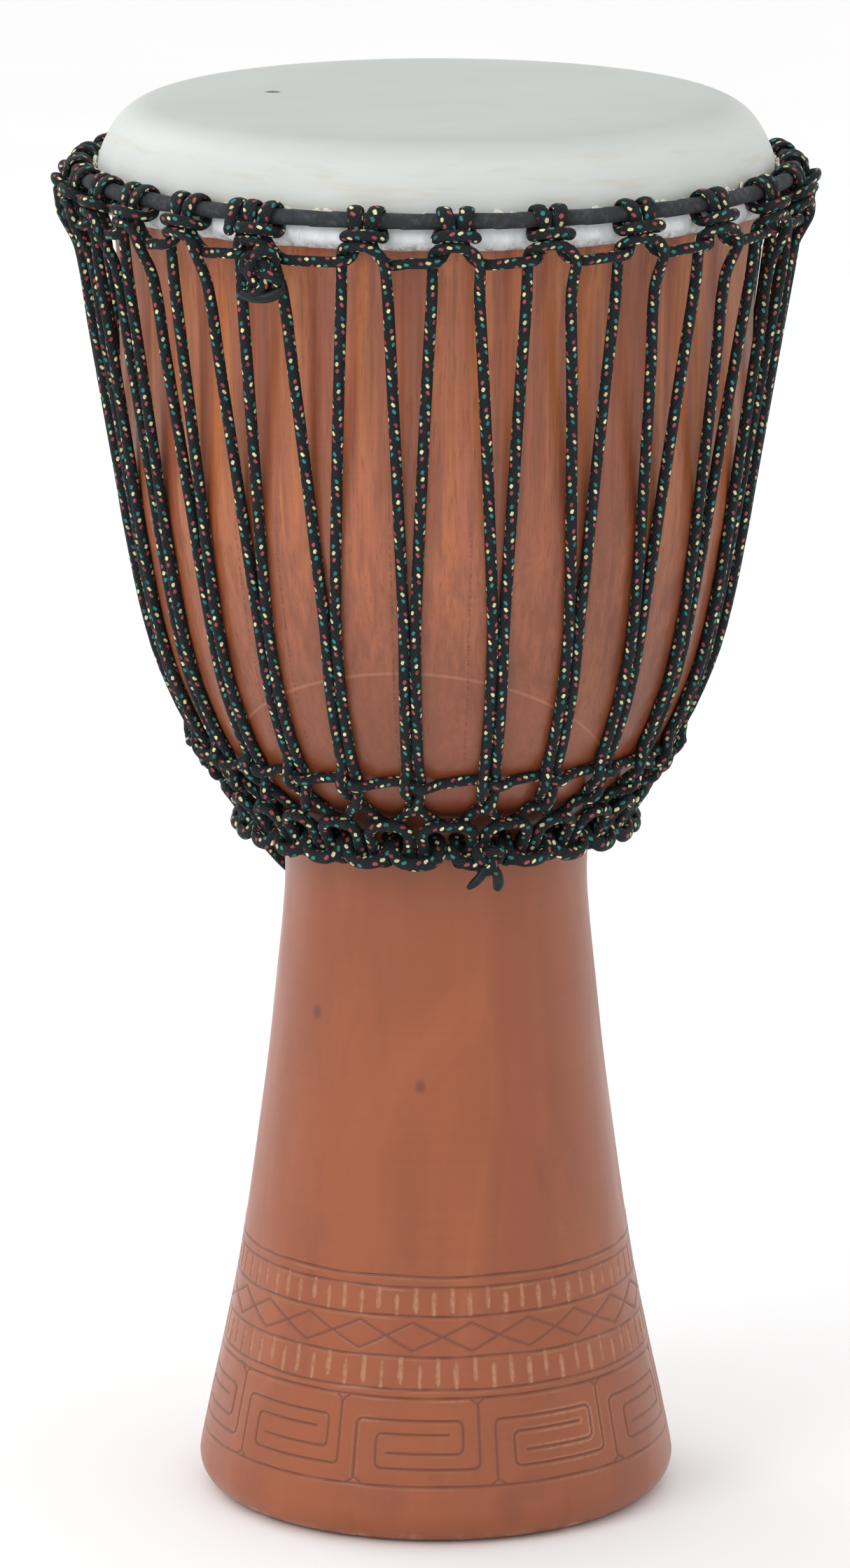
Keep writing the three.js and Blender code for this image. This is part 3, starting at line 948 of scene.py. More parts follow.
def set_on_hoop(points, azimuth, radius, z):
    """Rope rows from hitch points: sideways, out from and up from the hoop's centre, and flat."""
    t, out, up, flat = np.array(points, float).T
    reach = np.hypot(out, up)
    turned = azimuth + turn_of(t, radius)
    return np.column_stack([turned, radius + out, z + up, np.ones(len(t)), flat, out / reach, up / reach])


def upper_hitch(azimuth, random):
    """One hitch on the crown hoop, tied a little unevenly."""
    points = np.array([*UPPER_IN, *HALF_TURN, BAR, *mirrored(HALF_TURN), *UPPER_OUT], float)
    points[:, 0] *= random.uniform(0.95, 1.05)
    points[:, 0] += random.uniform(-0.5, 0.5)
    lift = random.uniform(-0.35, 0.35)
    loose = np.clip(np.hypot(points[:, 1], points[:, 2]) - 6.5, 0, 4) / 4
    points[:, 2] += lift * loose
    return set_on_hoop(points, azimuth, CROWN_R, CROWN_Z)


def make_upper_cradle():
    """The rope tied round the crown hoop in a hitch at each place, with runs hanging between."""
    random = np.random.default_rng(7)
    rows = []
    for k in range(COUNT):
        here = upper_azimuth(UPPER_TIE + k)
        after = upper_azimuth(UPPER_TIE + k + 1)
        rows.append(upper_hitch(here, random))
        middle = set_on_hoop([RUN_MIDDLE], (here + after) / 2, CROWN_R, CROWN_Z)
        middle[:, 2] += random.uniform(-0.5, 0.3)
        rows.append(middle)
    third = set_on_hoop(THIRD_TURN, upper_azimuth(UPPER_TIE), CROWN_R, CROWN_Z)
    piece = rope_piece("upper_cradle_braid", [rope_path(joined_up(rows)), rope_path(third)])
    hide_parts("upper_cradle_rope")


LOWER_TILT = 35
LOWER_SPREAD = 0.072
LOWER_REACH = 1.14
LOWER_SWELL = 1.13
LOWER_RUN_OUT, LOWER_RUN_UP = 17.8, 15.9
LOWER_IN = [(-9.6, 17.6, 15.8, 0), (-6.0, 17.4, 15.3, 0), (-3.0, 15.2, 12.2, 0), (-2.6, 10.8, 5.8, 0)]


def lower_hitch(azimuth, spread, random):
    """One hitch on the lower hoop: the crown's hitch upside down, turned outwards about the hoop."""
    turned = []
    for t, out, up, flat in [*HALF_TURN, BAR]:
        reach = math.hypot(out, up) * LOWER_REACH
        angle = math.atan2(up, out) + math.radians(LOWER_TILT)
        turned.append((t * spread, reach * math.cos(angle), -reach * math.sin(angle), flat * 0.8))
    half, bar = turned[:-1], turned[-1]
    points = np.array([*LOWER_IN, *half, bar, *mirrored(half), *mirrored(LOWER_IN)], float)
    points[:, 0] += random.uniform(-0.4, 0.4)
    rows = set_on_hoop(points, azimuth, LOWER_R, LOWER_Z)
    rows[:, 3] = LOWER_SWELL
    return rows


def make_lower_cradle():
    """The rope tied round the lower hoop, its runs standing above."""
    random = np.random.default_rng(11)
    rows = []
    for k in range(COUNT):
        here = lower_azimuth(LOWER_TIE + k)
        after = lower_azimuth(LOWER_TIE + k + 1)
        spread = LOWER_SPREAD * (after - lower_azimuth(LOWER_TIE + k - 1)) / 2
        rows.append(lower_hitch(here, spread, random))
        height = LOWER_Z + LOWER_RUN_UP + random.uniform(-0.4, 0.4)
        rows.append(round_rows([((here + after) / 2, LOWER_R + LOWER_RUN_OUT, height)]))
    piece = rope_piece("lower_cradle_braid", [rope_path(joined_up(rows))])
    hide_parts("lower_cradle_rope")


# ---- Lacing and pull row ----

TOP_Z = 584.0
TOP_R = CROWN_R + 2.1
TOP_SIDE = 9.7
TANGENT_Z = 463.0
TOUCH_Z = 424.0
ROW_Z = 350.0
CROSS_Z = 341.0
PAIR_SIDE = 2.42
ROW_SIDE = 3.4
CROSS_SIDE = 0.9
# How far each strand is lifted where the row passes and where the pair crosses, for side -1 and 1
ROW_LIFT = {-1: 4.6, 1: 0.4}
CROSS_LIFT = {-1: 0.3, 1: 4.9}
STRAND_SWELL = 1.08
STRAND_HEIGHTS = np.array([
    575, 540, 500, TANGENT_Z, 452, 440, TOUCH_Z + 5, TOUCH_Z - 4, 405, 390, 376, 366, 359,
])

# The bight across an upper hitch: sideways, out from and up from the crown hoop's centre, flat.
UPPER_BIGHT = [
    (-9.7, 2.0, -18.6, 0), (-9.5, 2.9, -14.0, 0), (-7.4, 6.6, -10.9, 0.2), (-4.0, 8.7, -10.0, 0.35),
    (0.0, 9.2, -9.8, 0.4), (4.2, 9.0, -10.8, 0.35), (7.6, 8.7, -13.4, 0.2), (9.4, 8.1, -17.6, 0),
]
# The bight behind the lower cradle's run, which starts under the crossing of a pair: sideways from
# it, out from the bight's radius, height. Then the height of the bight's middle.
LOWER_BIGHT_R = LOWER_R + 13.4
LOWER_LEGS = [(3.4, 4.9, 335.6), (6.4, 1.9, 331.7), (9.4, 0.3, 329.5)]
LOWER_MIDDLE_Z = 329.0


def pair_middle(i, z):
    """Azimuth of the middle of pair i at a height."""
    low = lower_azimuth(i)
    top = (upper_azimuth(i) + upper_azimuth(i + 1)) / 2
    return low + (top - low) * np.clip((z - CROSS_Z) / (TOP_Z - CROSS_Z), 0, 1)


def off_wood(i, z, t, lift, out, down):
    """A place t sideways from the middle of pair i, lifted off the wood."""
    r = lying_radius(z)
    return [pair_middle(i, z) + turn_of(t, r), r + lift * out, z - lift * down]


def strand(i, side):
    """One strand of pair i from under its upper hitch to where the pair crosses, top down."""
    z = STRAND_HEIGHTS
    tangent = lying_radius(TANGENT_Z)
    taut = tangent + (TOP_R - tangent) * (z - TANGENT_Z) / (TOP_Z - TANGENT_Z)
    radius = np.where(z > TANGENT_Z, taut, lying_radius(z))
    hitch = upper_azimuth(i) if side < 0 else upper_azimuth(i + 1)
    start = hitch - side * turn_of(TOP_SIDE, TOP_R)
    beside = pair_middle(i, TOUCH_Z) + side * turn_of(PAIR_SIDE, lying_radius(TOUCH_Z))
    share = (z - TOUCH_Z) / (TOP_Z - TOUCH_Z)
    together = pair_middle(i, z) + side * turn_of(PAIR_SIDE, radius)
    azimuth = np.where(z > TOUCH_Z, beside + (start - beside) * share, together)
    at_row = off_wood(i, ROW_Z, side * ROW_SIDE, ROW_LIFT[side], 0.86, 0.3)
    crossing = off_wood(i, CROSS_Z, side * CROSS_SIDE, CROSS_LIFT[side], 0.7, 0.6)
    path = round_rows(np.vstack([np.column_stack([azimuth, radius, z]), at_row, crossing]))
    path[:-2, 3] = STRAND_SWELL
    return path


def lower_bight(i):
    """From the crossing under pair i, along the back of the lower cradle's run, to pair i + 1."""
    here, after = lower_azimuth(i), lower_azimuth(i + 1)
    r = LOWER_BIGHT_R
    down = [(here + turn_of(t, r), r + out, z) for t, out, z in LOWER_LEGS]
    up = [(after - turn_of(t, r), r + out, z) for t, out, z in reversed(LOWER_LEGS)]
    return round_rows([*down, ((here + after) / 2, r, LOWER_MIDDLE_Z), *up])


def upper_bight(i):
    return set_on_hoop(UPPER_BIGHT, upper_azimuth(i), CROWN_R, CROWN_Z)


def make_lacing():
    """One rope, twice round: down the left of a pair, crossing it, and up the right of the next."""
    rows = []
    for k in range(BACK_START, BACK_START + 2 * COUNT, 2):
        rows += [strand(k, -1), lower_bight(k), strand(k + 1, 1)[::-1], upper_bight(k + 2)]
    path = rope_path(joined_up(rows, turns=2), 1.5, 3.0, 9.0)
    piece = rope_piece("lacing_braid", [path], 12)
    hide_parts("lacing_rope")


# Across one pair: sideways from its middle, height, and how far the row lifts off the wood
ROW_WEAVE = [
    (-9.0, 351.6, 0.0), (-3.6, 351.6, 0.1), (0.2, 351.0, 2.8),
    (3.6, 350.6, 4.8), (7.4, 350.3, 2.6), (11.0, 350.4, 0.3),
]


def make_pull_row():
    """The row woven through the pairs: behind the left strand and over the right strand of each."""
    rows = []
    random = np.random.default_rng(5)
    for k in range(BACK_START, BACK_START + COUNT):
        middle = pair_middle(k, ROW_Z)
        shift = random.uniform(-0.6, 0.6)
        for t, z, lift in ROW_WEAVE:
            r = lying_radius(z)
            rows.append([middle + turn_of(t, r), r + lift * 0.86, z + shift - lift * 0.35])
    path = rope_path(joined_up([round_rows(rows)]), 1.2)
    piece = rope_piece("pull_row_braid", [path])
    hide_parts("pull_rope")


# ---- Tie-off knots ----

# Free ends: azimuth from the tie, radius from the hoop's, height, swell
UPPER_TAIL = [
    (3.4, 13.6, 577.6, 1.0), (2.0, 15.2, 575.2, 1.05), (-0.6, 15.4, 574.4, 1.0), (-2.2, 14.6, 575.2, 0.9),
]
SLIM_TAIL = [
    (-0.5, 16.0, 309, 0.85), (-2.2, 16.6, 305, 0.9), (-4.0, 16.0, 302, 0.8), (-5.0, 15.6, 300.6, 0.5),
]
FAT_TAIL = [
    (1.5, 16.0, 309, 0.95), (2.6, 17.0, 305.5, 1.05), (3.0, 16.6, 302.4, 1.1), (2.8, 16.3, 300.6, 1.0),
]


def trefoil(azimuth, radius, z, size, depth, spin):
    """A small hard-pulled knot about a place on the drum's front."""
    t = np.linspace(0, 2 * math.pi, 60, endpoint=False)
    x = np.sin(t) + 2 * np.sin(2 * t)
    y = np.cos(t) - 2 * np.cos(2 * t)
    s, c = math.sin(math.radians(spin)), math.cos(math.radians(spin))
    across = size * (x * c - y * s)
    up = size * (x * s + y * c)
    out = -depth * np.sin(3 * t)
    rows = np.column_stack([azimuth + turn_of(across, radius), radius + out, z + up])
    path = smooth(to_path(round_rows(rows)), closed=True, step=1.2)
    return np.vstack([path, path[:1]])


def tail(rows, azimuth, radius):
    """A short free end beside a tie."""
    return smooth(to_path(round_rows(rows + np.array([azimuth, radius, 0, 0]))), step=1.0)


def make_tie_knots():
    """The knots that end both cradle ropes, with the melted tips of their tails."""
    at = upper_azimuth(UPPER_TIE) + 1.9
    top = trefoil(at, CROWN_R + 12.5, 588.0, 2.5, 2.6, 20)
    bottom = trefoil(at + 0.4, CROWN_R + 13.0, 582.0, 2.6, 2.8, 80)
    end = tail(UPPER_TAIL, at, CROWN_R)
    upper = rope_piece("upper_tie_knot_braid", [top, bottom, end], dark_ends=[0.0, 0.0, 1.0])
    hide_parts("upper_tie_knot")
    at = lower_azimuth(LOWER_TIE) + 1.6
    lump = trefoil(at, LOWER_R + 15.0, 313.6, 2.0, 2.4, -15)
    slim = tail(SLIM_TAIL, at, LOWER_R)
    fat = tail(FAT_TAIL, at, LOWER_R)
    lower = rope_piece("lower_tie_knot_braid", [lump, slim, fat], dark_ends=[0.0, 1.0, 0.9])
    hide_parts("lower_tie_knot")


make_upper_cradle()
make_lower_cradle()
make_lacing()
make_pull_row()
make_tie_knots()


# ---- Taped hoops ----

TAPE_PITCH = 20.0
TAPE_STEP = 0.28


def make_tape(name, node, radius, z, seed):
    """Tape wound round a hoop: each turn's edge lies a step proud of the next."""
    steps = round(2 * math.pi * radius)
    sides = 24
    turns = round(2 * math.pi * radius / TAPE_PITCH)
    a = np.arange(steps) / steps * 360
    b = np.arange(sides) / sides * 2 * math.pi
    wound = (a[:, None] / 360 * turns + b[None, :] / (2 * math.pi)) % 1.0
    edge = np.where(wound < 0.06, wound / 0.06, 1 - (wound - 0.06) / 0.94)
    wrinkle = waviness(a * 9, seed, 4)[:, None] * 0.05 * np.cos(b * 3)[None, :]
    r = TAPE_R - TAPE_STEP + TAPE_STEP * edge * 1.3 + wrinkle
    points = place(a[:, None], radius + r * np.cos(b), z + r * np.sin(b)).reshape(-1, 3)
    quads = grid_faces(steps, sides, closed_rows=True, flip=True)
    cell = [2 * math.pi * radius / steps, 2 * math.pi * TAPE_R / sides]
    uv = (quad_corners(steps, sides)[:, ::-1] * cell).reshape(-1, 2)
    piece = make_piece(name, points, [quads], TAPE_MATERIAL, uv)
    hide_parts(node)


TAPE_MATERIAL = cloth_tape()
make_tape("crown_tape", "crown_wrap", CROWN_R, CROWN_Z, 21)
make_tape("lower_tape", "lower_wrap", LOWER_R, LOWER_Z, 22)
STEEL = hoop_steel()
for hoop_node in ("flesh_hoop", "crown_hoop", "lower_hoop"):
    NODES[hoop_node].data.materials.clear()
    NODES[hoop_node].data.materials.append(STEEL)


# ---- Head: one goatskin from its middle to its trimmed edge ----

SKIN_TOP = [
    (0, 0), (60, 0), (104, 0), (116, -0.5), (124, -1.5), (131, -3.5), (136.5, -6.4), (140.9, -10.2),
    (144.2, -14.8), (147, -20), (149.2, -25.2), (150.3, -30), (149.6, -35), (147.9, -38.2),
]
COLLAR_R, COLLAR_Z = 150.4, 599.2
COLLAR_HALF_W, COLLAR_HALF_H = 4.3, 4.9
# The cut edge: where it starts above the collar, how far it leans in and how tall it stands
EDGE_R, EDGE_Z = 152.4, 603.4
EDGE_LEAN, EDGE_HEIGHT = 1.2, 5.6
CUT_FROM = 0.35
SKIN_COLUMNS = 900
SKIN_LAYERS = ("wrap", "cut", "rim", "grime")


def skin_profile():
    """(radius, height, wrap, cut, rim, grime) rows from the middle of the head to the cut edge."""
    top = smooth_profile([(r, HEIGHT + dz) for r, dz in SKIN_TOP], 2.0)
    top[:, 0] = np.maximum(top[:, 0], 0)
    rows = [(r, z, 0.0, 0.0, float(np.clip((r - 128) / 14, 0, 1))) for r, z in top[1:]]
    for a in np.radians(np.linspace(186, 395, 22)):
        r = COLLAR_R + COLLAR_HALF_W * math.cos(a)
        z = COLLAR_Z + COLLAR_HALF_H * math.sin(a)
        rows.append((r, z, 1.0, 0.0, 0.0))
    for rise in np.linspace(0, 1, 7):
        cut = CUT_FROM + (1 - CUT_FROM) * rise
        rows.append((EDGE_R - EDGE_LEAN * rise, EDGE_Z + EDGE_HEIGHT * rise, 1.0, cut, 0.0))
    rows = np.array(rows)
    grime = np.clip((COLLAR_Z - 0.5 - rows[:, 1]) / 3.5, 0, 1) * rows[:, 2]
    return np.column_stack([rows, grime])


def skin_shape(rows, a):
    """Radius and height over the sheet: pleats, a ragged cut edge, and a rim pulled down unevenly."""
    r, z, wrap, cut = (rows[:, k:k + 1] for k in range(4))
    pleat = waviness(a * 23, 31, 6) * 0.22 + waviness(a * 9, 32, 5) * 0.28
    lean = 1 + 0.5 * np.sin(np.arange(len(rows)) * 0.7)[:, None]
    r = r + wrap * pleat * lean
    z = z + wrap * (1 - cut) * waviness(a * 5, 33, 5) * 0.22
    height = 1 + 0.30 * waviness(a * 7, 34, 6) + 0.22 * waviness(a * 31, 35, 5)
    share = np.clip((cut - CUT_FROM) / (1 - CUT_FROM), 0, 1)
    stands = (z - EDGE_Z) * np.clip(height, 0.25, 1.45) + EDGE_Z
    z = np.where(share > 0, stands, z)
    r = r + share * waviness(a * 11, 36, 6) * 0.5
    sag = (1 - wrap) * np.clip(r - 148.5, 0, 2) * waviness(a, 37, 4) * 0.12
    return r + sag, z


def make_skin():
    """The head as one sheet: smooth on top, pleated where it wraps the flesh hoop, ragged where cut."""
    rows = skin_profile()
    a = np.arange(SKIN_COLUMNS) / SKIN_COLUMNS * 360
    r, z = skin_shape(rows, a)
    points = np.vstack([[[0, 0, HEIGHT]], place(a, r, z).reshape(-1, 3)])
    quads = grid_faces(len(rows), SKIN_COLUMNS, flip=True) + 1
    j = np.arange(SKIN_COLUMNS)
    fan = np.stack([np.zeros(SKIN_COLUMNS, int), j + 1, (j + 1) % SKIN_COLUMNS + 1], -1)
    layers = {
        key: np.concatenate([[0.0], np.repeat(values, SKIN_COLUMNS)])
        for key, values in zip(SKIN_LAYERS, rows[:, 2:].T, strict=True)
    }
    piece = make_piece("goatskin_head", points, [fan, quads], goatskin(), layers=layers)
    thick = piece.modifiers.new("thickness", "SOLIDIFY")
    thick.thickness = 0.0008
    thick.offset = -1.0
    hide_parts("skin_head")
    return piece


HEAD = make_skin()


# ---- Carving on the foot: depth of each cut, and how dark or pale it is ----

PANEL_TOP, PANEL_BOTTOM = 66.5, 27.6
GROOVES = [
    (120.0, 0.55), (115.3, 0.5), (102.5, 0.55), (84.5, 0.5), (70.2, 0.5),
    (PANEL_TOP, 0.55), (PANEL_BOTTOM, 0.5),
]
GROOVE_HALF = 0.78
GROOVE_DEPTH = 0.6
GOUGE_BANDS = [(102.5, 115.3, 68, -0.7), (70.2, 84.5, 70, -4.7)]
GOUGE_HALF = 1.5
GOUGE_DEPTH = 0.8
DIAMOND_Z, DIAMOND_HEIGHT, DIAMONDS, DIAMOND_START = 93.5, 6.3, 22, 2.2
MEANDER_START, MEANDER_CELLS = 10.8, 10
MEANDER = [
    [(4.6, 31), (4.6, 56.6), (32.4, 56.6), (32.4, 42.1), (12.7, 42.1)],
    [(36.2, 63.5), (36.2, 35.3), (9.7, 35.3), (9.7, 50.5), (28.7, 50.5)],
]
CORNER_TURN, CORNER_RISE = 1.7, 3.0
WORN_AZIMUTH, WORN_Z = 38, 48
NOTCH_HALF_TURN, NOTCH_HEIGHT, NOTCH_LAG = 2.4, 3.2, 4.7
CARVED_TOP = 126.0


def cut_shape(distance, half):
    """Depth from 0 to 1 of a V cut at a distance from its middle line."""
    return np.clip(1 - np.abs(distance) / half, 0, 1)


def segment_distance(u, v, start, end):
    """Distance in the (u, v) plane from points to a straight segment."""
    du, dv = end[0] - start[0], end[1] - start[1]
    share = np.clip(((u - start[0]) * du + (v - start[1]) * dv) / (du * du + dv * dv + 1e-9), 0, 1)
    return np.hypot(u - start[0] - share * du, v - start[1] - share * dv)


def round_corners(points):
    """A path of level and upright strokes with its corners rounded off."""
    cut = np.array([CORNER_TURN, CORNER_RISE])
    path = [points[0]]
    for before, corner, after in zip(points[:-2], points[1:-1], points[2:], strict=True):
        corner = np.array(corner)
        start = corner + np.sign(before - corner) * cut
        end = corner + np.sign(after - corner) * cut
        for t in (0, 0.3, 0.7, 1):
            path.append((1 - t) ** 2 * start + 2 * t * (1 - t) * corner + t * t * end)
    return [*path, points[-1]]


def ring_grooves(a, z):
    depth = np.zeros_like(z)
    for k, (height, amount) in enumerate(GROOVES):
        line = height + 0.22 * waviness(a, 50 + k, 5, 2, 14)
        pressed = amount * (1 + 0.25 * waviness(a, 70 + k, 6, 5, 40)) / 0.55
        depth = np.maximum(depth, cut_shape(z - line, GROOVE_HALF) * np.clip(pressed, 0.35, 1.2))
    return depth


def diamond_chain(a, z):
    hand = a + 0.9 * waviness(a, 81, 5, 3, 20)
    x = (hand - DIAMOND_START) * DIAMONDS / 360
    rise = DIAMOND_HEIGHT * (1 - np.abs(2 * (x % 1.0) - 1))
    slope = math.cos(math.atan(DIAMOND_HEIGHT / 13.0))
    upper = (z - DIAMOND_Z - rise) * slope
    lower = (z - DIAMOND_Z + rise) * slope
    return np.maximum(cut_shape(upper, GROOVE_HALF), cut_shape(lower, GROOVE_HALF))


def gouge_band(a, z, radius, bottom, top, count, start):
    """Teardrop gouges in turn hanging from the band's top line and standing on its bottom line."""
    spacing = 360 / count
    cell = np.round((a - start) / spacing)
    hand = 0.5 * np.sin(cell * 12.9898) + 0.3 * np.sin(cell * 4.1)
    u = np.radians(a - start - cell * spacing) * radius + hand * 0.5
    hangs = cell % 2 == 1
    length = (top - bottom) * (0.84 + 0.07 * np.sin(cell * 7.7))
    share = np.where(hangs, (z - (top - length)) / length, ((bottom + length) - z) / length)
    rounded = np.clip(share * 4, 0, 1) ** 0.5 * (1 - 0.3 * np.clip(share, 0, 1))
    half = GOUGE_HALF * (0.9 + 0.12 * np.sin(cell * 3.3)) * rounded
    inside = (share > 0) & (share < 1.02)
    ends = np.clip((1.02 - share) * 8, 0, 1)
    return np.where(inside, ends * np.clip(1 - (u / np.maximum(half, 1e-3)) ** 2, 0, 1), 0)


def lip_highlights(a, z):
    """Painted highlight: a pale line under each ring groove, where its lower wall would catch the light,
    here and there round the foot.
    """
    pale = np.zeros_like(z)
    for k, (height, _) in enumerate(GROOVES):
        line = height - 1.25 + 0.22 * waviness(a, 50 + k, 5, 2, 14)
        here = np.clip(0.35 + 0.6 * waviness(a, 101 + k, 6, 3, 24), 0, 1)
        pale = np.maximum(pale, cut_shape(z - line, 0.55) * here)
    return pale


def meander(a, z, radius):
    """Two interlocked square spirals in each cell, and the pale wear along some of their edges."""
    turn = 360 / MEANDER_CELLS
    hand = a + 0.25 * waviness(a, 91, 5, 4, 30)
    local = (hand - MEANDER_START) % turn
    depth = np.zeros_like(z)
    burr = np.zeros_like(z)
    mm = math.radians(1) * radius
    for spiral in MEANDER:
        path = round_corners(spiral)
        for p, q in zip(path[:-1], path[1:], strict=True):
            for shift in (0, turn, -turn):
                start = ((p[0] + shift) * mm, p[1])
                end = ((q[0] + shift) * mm, q[1])
                gap = segment_distance(local * mm, z, start, end)
                depth = np.maximum(depth, cut_shape(gap, GROOVE_HALF))
                burr = np.maximum(burr, cut_shape(gap - 1.2, 0.7))
    rubbed = np.clip(1.4 - np.hypot((a - WORN_AZIMUTH) / 13, (z - WORN_Z) / 20), 0, 1)
    return depth, burr * (1 - depth) * np.maximum(rubbed, 0.3 * np.clip(waviness(a, 111, 6, 3, 24), 0, 1))


def notches(a, z):
    """Outlines of the small triangles under the panel's top line and over its bottom line."""
    turn = 360 / MEANDER_CELLS
    found = np.zeros_like(z)
    for start, line, way in (
        (MEANDER_START, PANEL_TOP, -1), (MEANDER_START + NOTCH_LAG, PANEL_BOTTOM, 1),
    ):
        off = np.abs((a - start + turn / 2) % turn - turn / 2) / NOTCH_HALF_TURN
        rise = (z - line) * way / NOTCH_HEIGHT
        edge = 1 - off - rise
        inside = (rise > -0.05) * (edge > -0.1)
        found = np.maximum(found, inside * np.clip(1 - np.abs(edge - 0.12) / 0.22, 0, 1))
    return found


def carving(a, z, radius):
    """(depth in mm, groove darkening of dark stain and painted shade, gouge paleness with painted
    highlights under the ring grooves) over the foot's carved band.
    """
    lines = np.maximum(ring_grooves(a, z), diamond_chain(a, z))
    spirals, burr = meander(a, z, radius)
    lines = np.maximum(lines, spirals)
    lines = np.maximum(lines, notches(a, z))
    gouges = np.zeros_like(z)
    for bottom, top, count, start in GOUGE_BANDS:
        gouges = np.maximum(gouges, gouge_band(a, z, radius, bottom, top, count, start))
    depth = np.maximum(lines * GROOVE_DEPTH, gouges * GOUGE_DEPTH)
    # Groove darkening: dark stain and painted shade in the cuts
    groove_stain_and_shade = np.clip(lines * 1.35, 0, 1) * np.clip(1 - gouges * 0.6, 0, 1)
    # Painted highlights on the grooves' lower lips, with the pale gouges
    pale = np.maximum(np.clip(gouges * 2.2, 0, 1), 0.55 * lip_highlights(a, z) * (1 - lines))
    return depth, groove_stain_and_shade, np.maximum(pale, 0.8 * burr)


# ---- Shell ----

FINE = 1200
COARSE = FINE // 4
# Rows below the bearing edge that are turned true, under the collar
EVEN_ROWS = 14
# Chips on the base's edge: azimuth, height, and how wide and tall
BASE_CHIPS = [
    (-20, 2.0, 5.5, 1.8), (37, 2.6, 4.5, 2.2), (-52, 3.0, 5.0, 2.2), (140, 2.0, 5.0, 2.0), (215, 4, 4, 2),
]


def fine_heights():
    """Heights of the carved band's rows, closer together across the grooves' level strokes."""
    heights = [*np.arange(FOOT_ROUND, CARVED_TOP, 0.8)]
    lines = [height for height, _ in GROOVES]
    for spiral in MEANDER:
        lines.extend(p[1] for p, q in zip(spiral[:-1], spiral[1:], strict=True) if p[1] == q[1])
    for line in lines:
        heights.extend(line + np.arange(-1.2, 1.21, 0.3))
    heights = np.sort(heights)
    return heights[np.concatenate([[True], np.diff(heights) > 0.12])]


def fine_rows():
    edge = np.array(foot_edge(14))
    heights = fine_heights()[1:]
    return np.vstack([edge, np.column_stack([wood_radius(heights), heights])])


def worn_edge(a, z):
    """Pale wear on the base's edge and chips knocked out of it."""
    patches = np.clip(0.35 + 0.5 * waviness(a, 61, 8, 3, 60), 0, 1)
    worn = np.clip(1 - np.abs(z - 3.0) / 3.5, 0, 1) * patches * 0.5
    for azimuth, height, wide, tall in BASE_CHIPS:
        off = np.hypot(((a - azimuth + 180) % 360 - 180) / wide * 2, (z - height) / tall)
        worn = np.maximum(worn, np.clip(1.3 - off, 0, 1))
    return worn


def foot_part():
    """Points of the carved foot, row by row, and how grooved, gouged and worn each one is."""
    rows = fine_rows()
    a = np.arange(FINE) / FINE * 360
    a, r, z = np.broadcast_arrays(a, rows[:, :1], rows[:, 1:])
    depth, groove_stain_and_shade, gouge_and_highlight = carving(a, z, r)
    side = z >= FOOT_ROUND
    worn = worn_edge(a, z)
    chip = np.clip(worn - 0.5, 0, 1) * 1.2
    hand = 0.12 * waviness(a * 3, 41, 5) * np.clip((z - 10) / 40, 0, 1)
    points = place(a, r - depth * side - chip + hand, z).reshape(-1, 3)
    return points, {"groove": groove_stain_and_shade * side, "gouge_and_highlight": gouge_and_highlight * side, "worn": worn}


def body_part():
    """Points up the waist and bowl, over the bearing edge and down the hollow inside."""
    above = OUTSIDE[OUTSIDE[:, 1] > CARVED_TOP + 2]
    above = thin_out(np.column_stack([above, np.zeros(len(above))]), 2.5, 5.0)[:, :2]
    rows = np.vstack([above, smooth_profile(INSIDE, 8.0)])
    a = np.arange(COARSE) / COARSE * 360
    shape = 0.25 * waviness(a, 42, 5) * np.sin(rows[:, 1:] / 60)
    shape = shape * (np.arange(len(rows)) < len(above) - EVEN_ROWS)[:, None]
    return place(a, rows[:, :1] + shape, rows[:, 1:]).reshape(-1, 3)


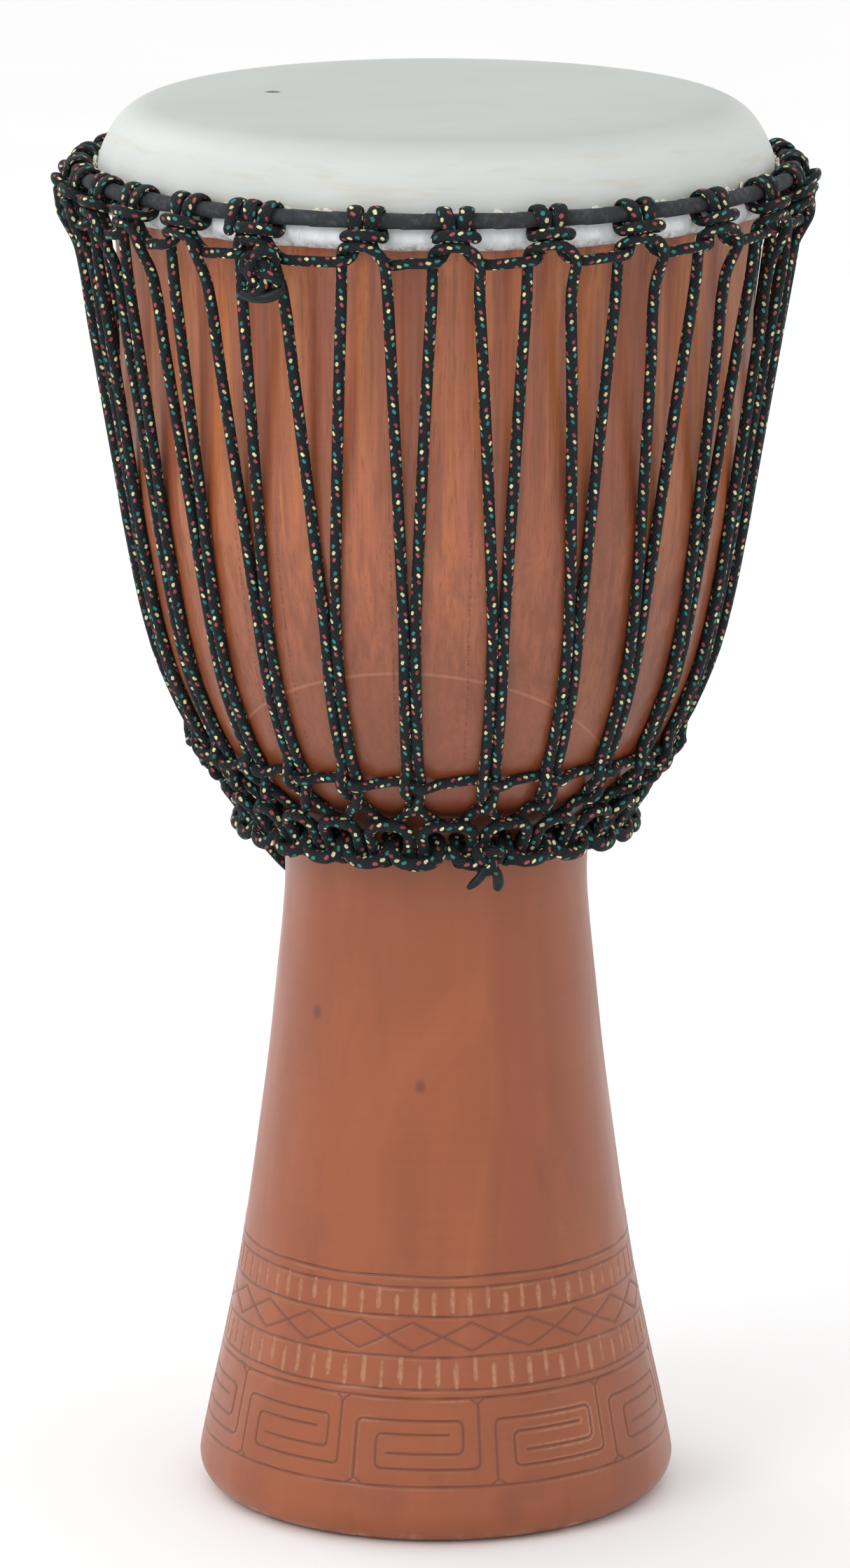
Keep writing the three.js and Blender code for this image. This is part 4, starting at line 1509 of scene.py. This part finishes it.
def shell_joins(foot_rows, body_rows):
    """Faces from the foot's top ring up to the bowl, and from its bottom ring to the hollow."""
    ratio = FINE // COARSE
    j = np.arange(COARSE)
    right = (j + 1) % COARSE
    first = foot_rows * FINE
    top = first - FINE
    last = first + (body_rows - 1) * COARSE
    fan = [(j * ratio + k) % FINE for k in range(ratio + 1)]
    up = np.stack([*(top + f for f in fan), first + right, first + j], -1)
    down = np.stack([*fan[::-1], last + j, last + right], -1)
    return up, down


def make_shell():
    """The wooden body: foot with its carving, waist, bowl and bearing edge, and the hollow inside."""
    foot, carved = foot_part()
    body = body_part()
    foot_rows, body_rows = len(foot) // FINE, len(body) // COARSE
    faces = [
        grid_faces(foot_rows, FINE), grid_faces(body_rows, COARSE) + len(foot),
        *shell_joins(foot_rows, body_rows),
    ]
    blank = np.zeros(len(body))
    layers = {key: np.concatenate([values.ravel(), blank]) for key, values in carved.items()}
    points = np.vstack([foot, body])
    piece = make_piece("carved_shell", points, faces, carved_wood(), layers=layers)
    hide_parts("shell")


make_shell()


# ---- Floor, light and sizes ----

def make_floor():
    """A wide pale floor under the foot."""
    mesh = bpy.data.meshes.new("floor")
    sides = 96
    turn = np.arange(sides) / sides * 360
    rim = place(turn, 16000.0, 0.0) * MM
    mesh.from_pydata([tuple(p) for p in rim], [], [tuple(range(sides))])
    mesh.materials.append(pale_floor())
    floor = add_object("floor", mesh)


def make_light(name, location, size, watts):
    """A soft square lamp that faces the drum's middle."""
    data = bpy.data.lights.new(name, "AREA")
    data.energy = watts
    data.size = size
    lamp = add_object(name, data)
    lamp.location = location
    back = lamp.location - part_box("shell")[1] * 0.5
    lamp.rotation_euler = back.to_track_quat("Z", "Y").to_euler()


def make_world(strength):
    world = bpy.data.worlds.new("studio")
    world.use_nodes = True
    world.node_tree.nodes["Background"].inputs["Color"].default_value = (1, 1, 1, 1)
    world.node_tree.nodes["Background"].inputs["Strength"].default_value = strength
    bpy.context.scene.world = world


make_floor()
make_world(1.0)
make_light("key", (-2.2, -2.2, 2.3), 1.6, 27)
make_light("fill", (2.2, -2.0, 1.6), 1.8, 2)
make_light("back", (-1.9, 1.7, 2.2), 1.6, 14)
bpy.context.scene.view_settings.view_transform = "Standard"
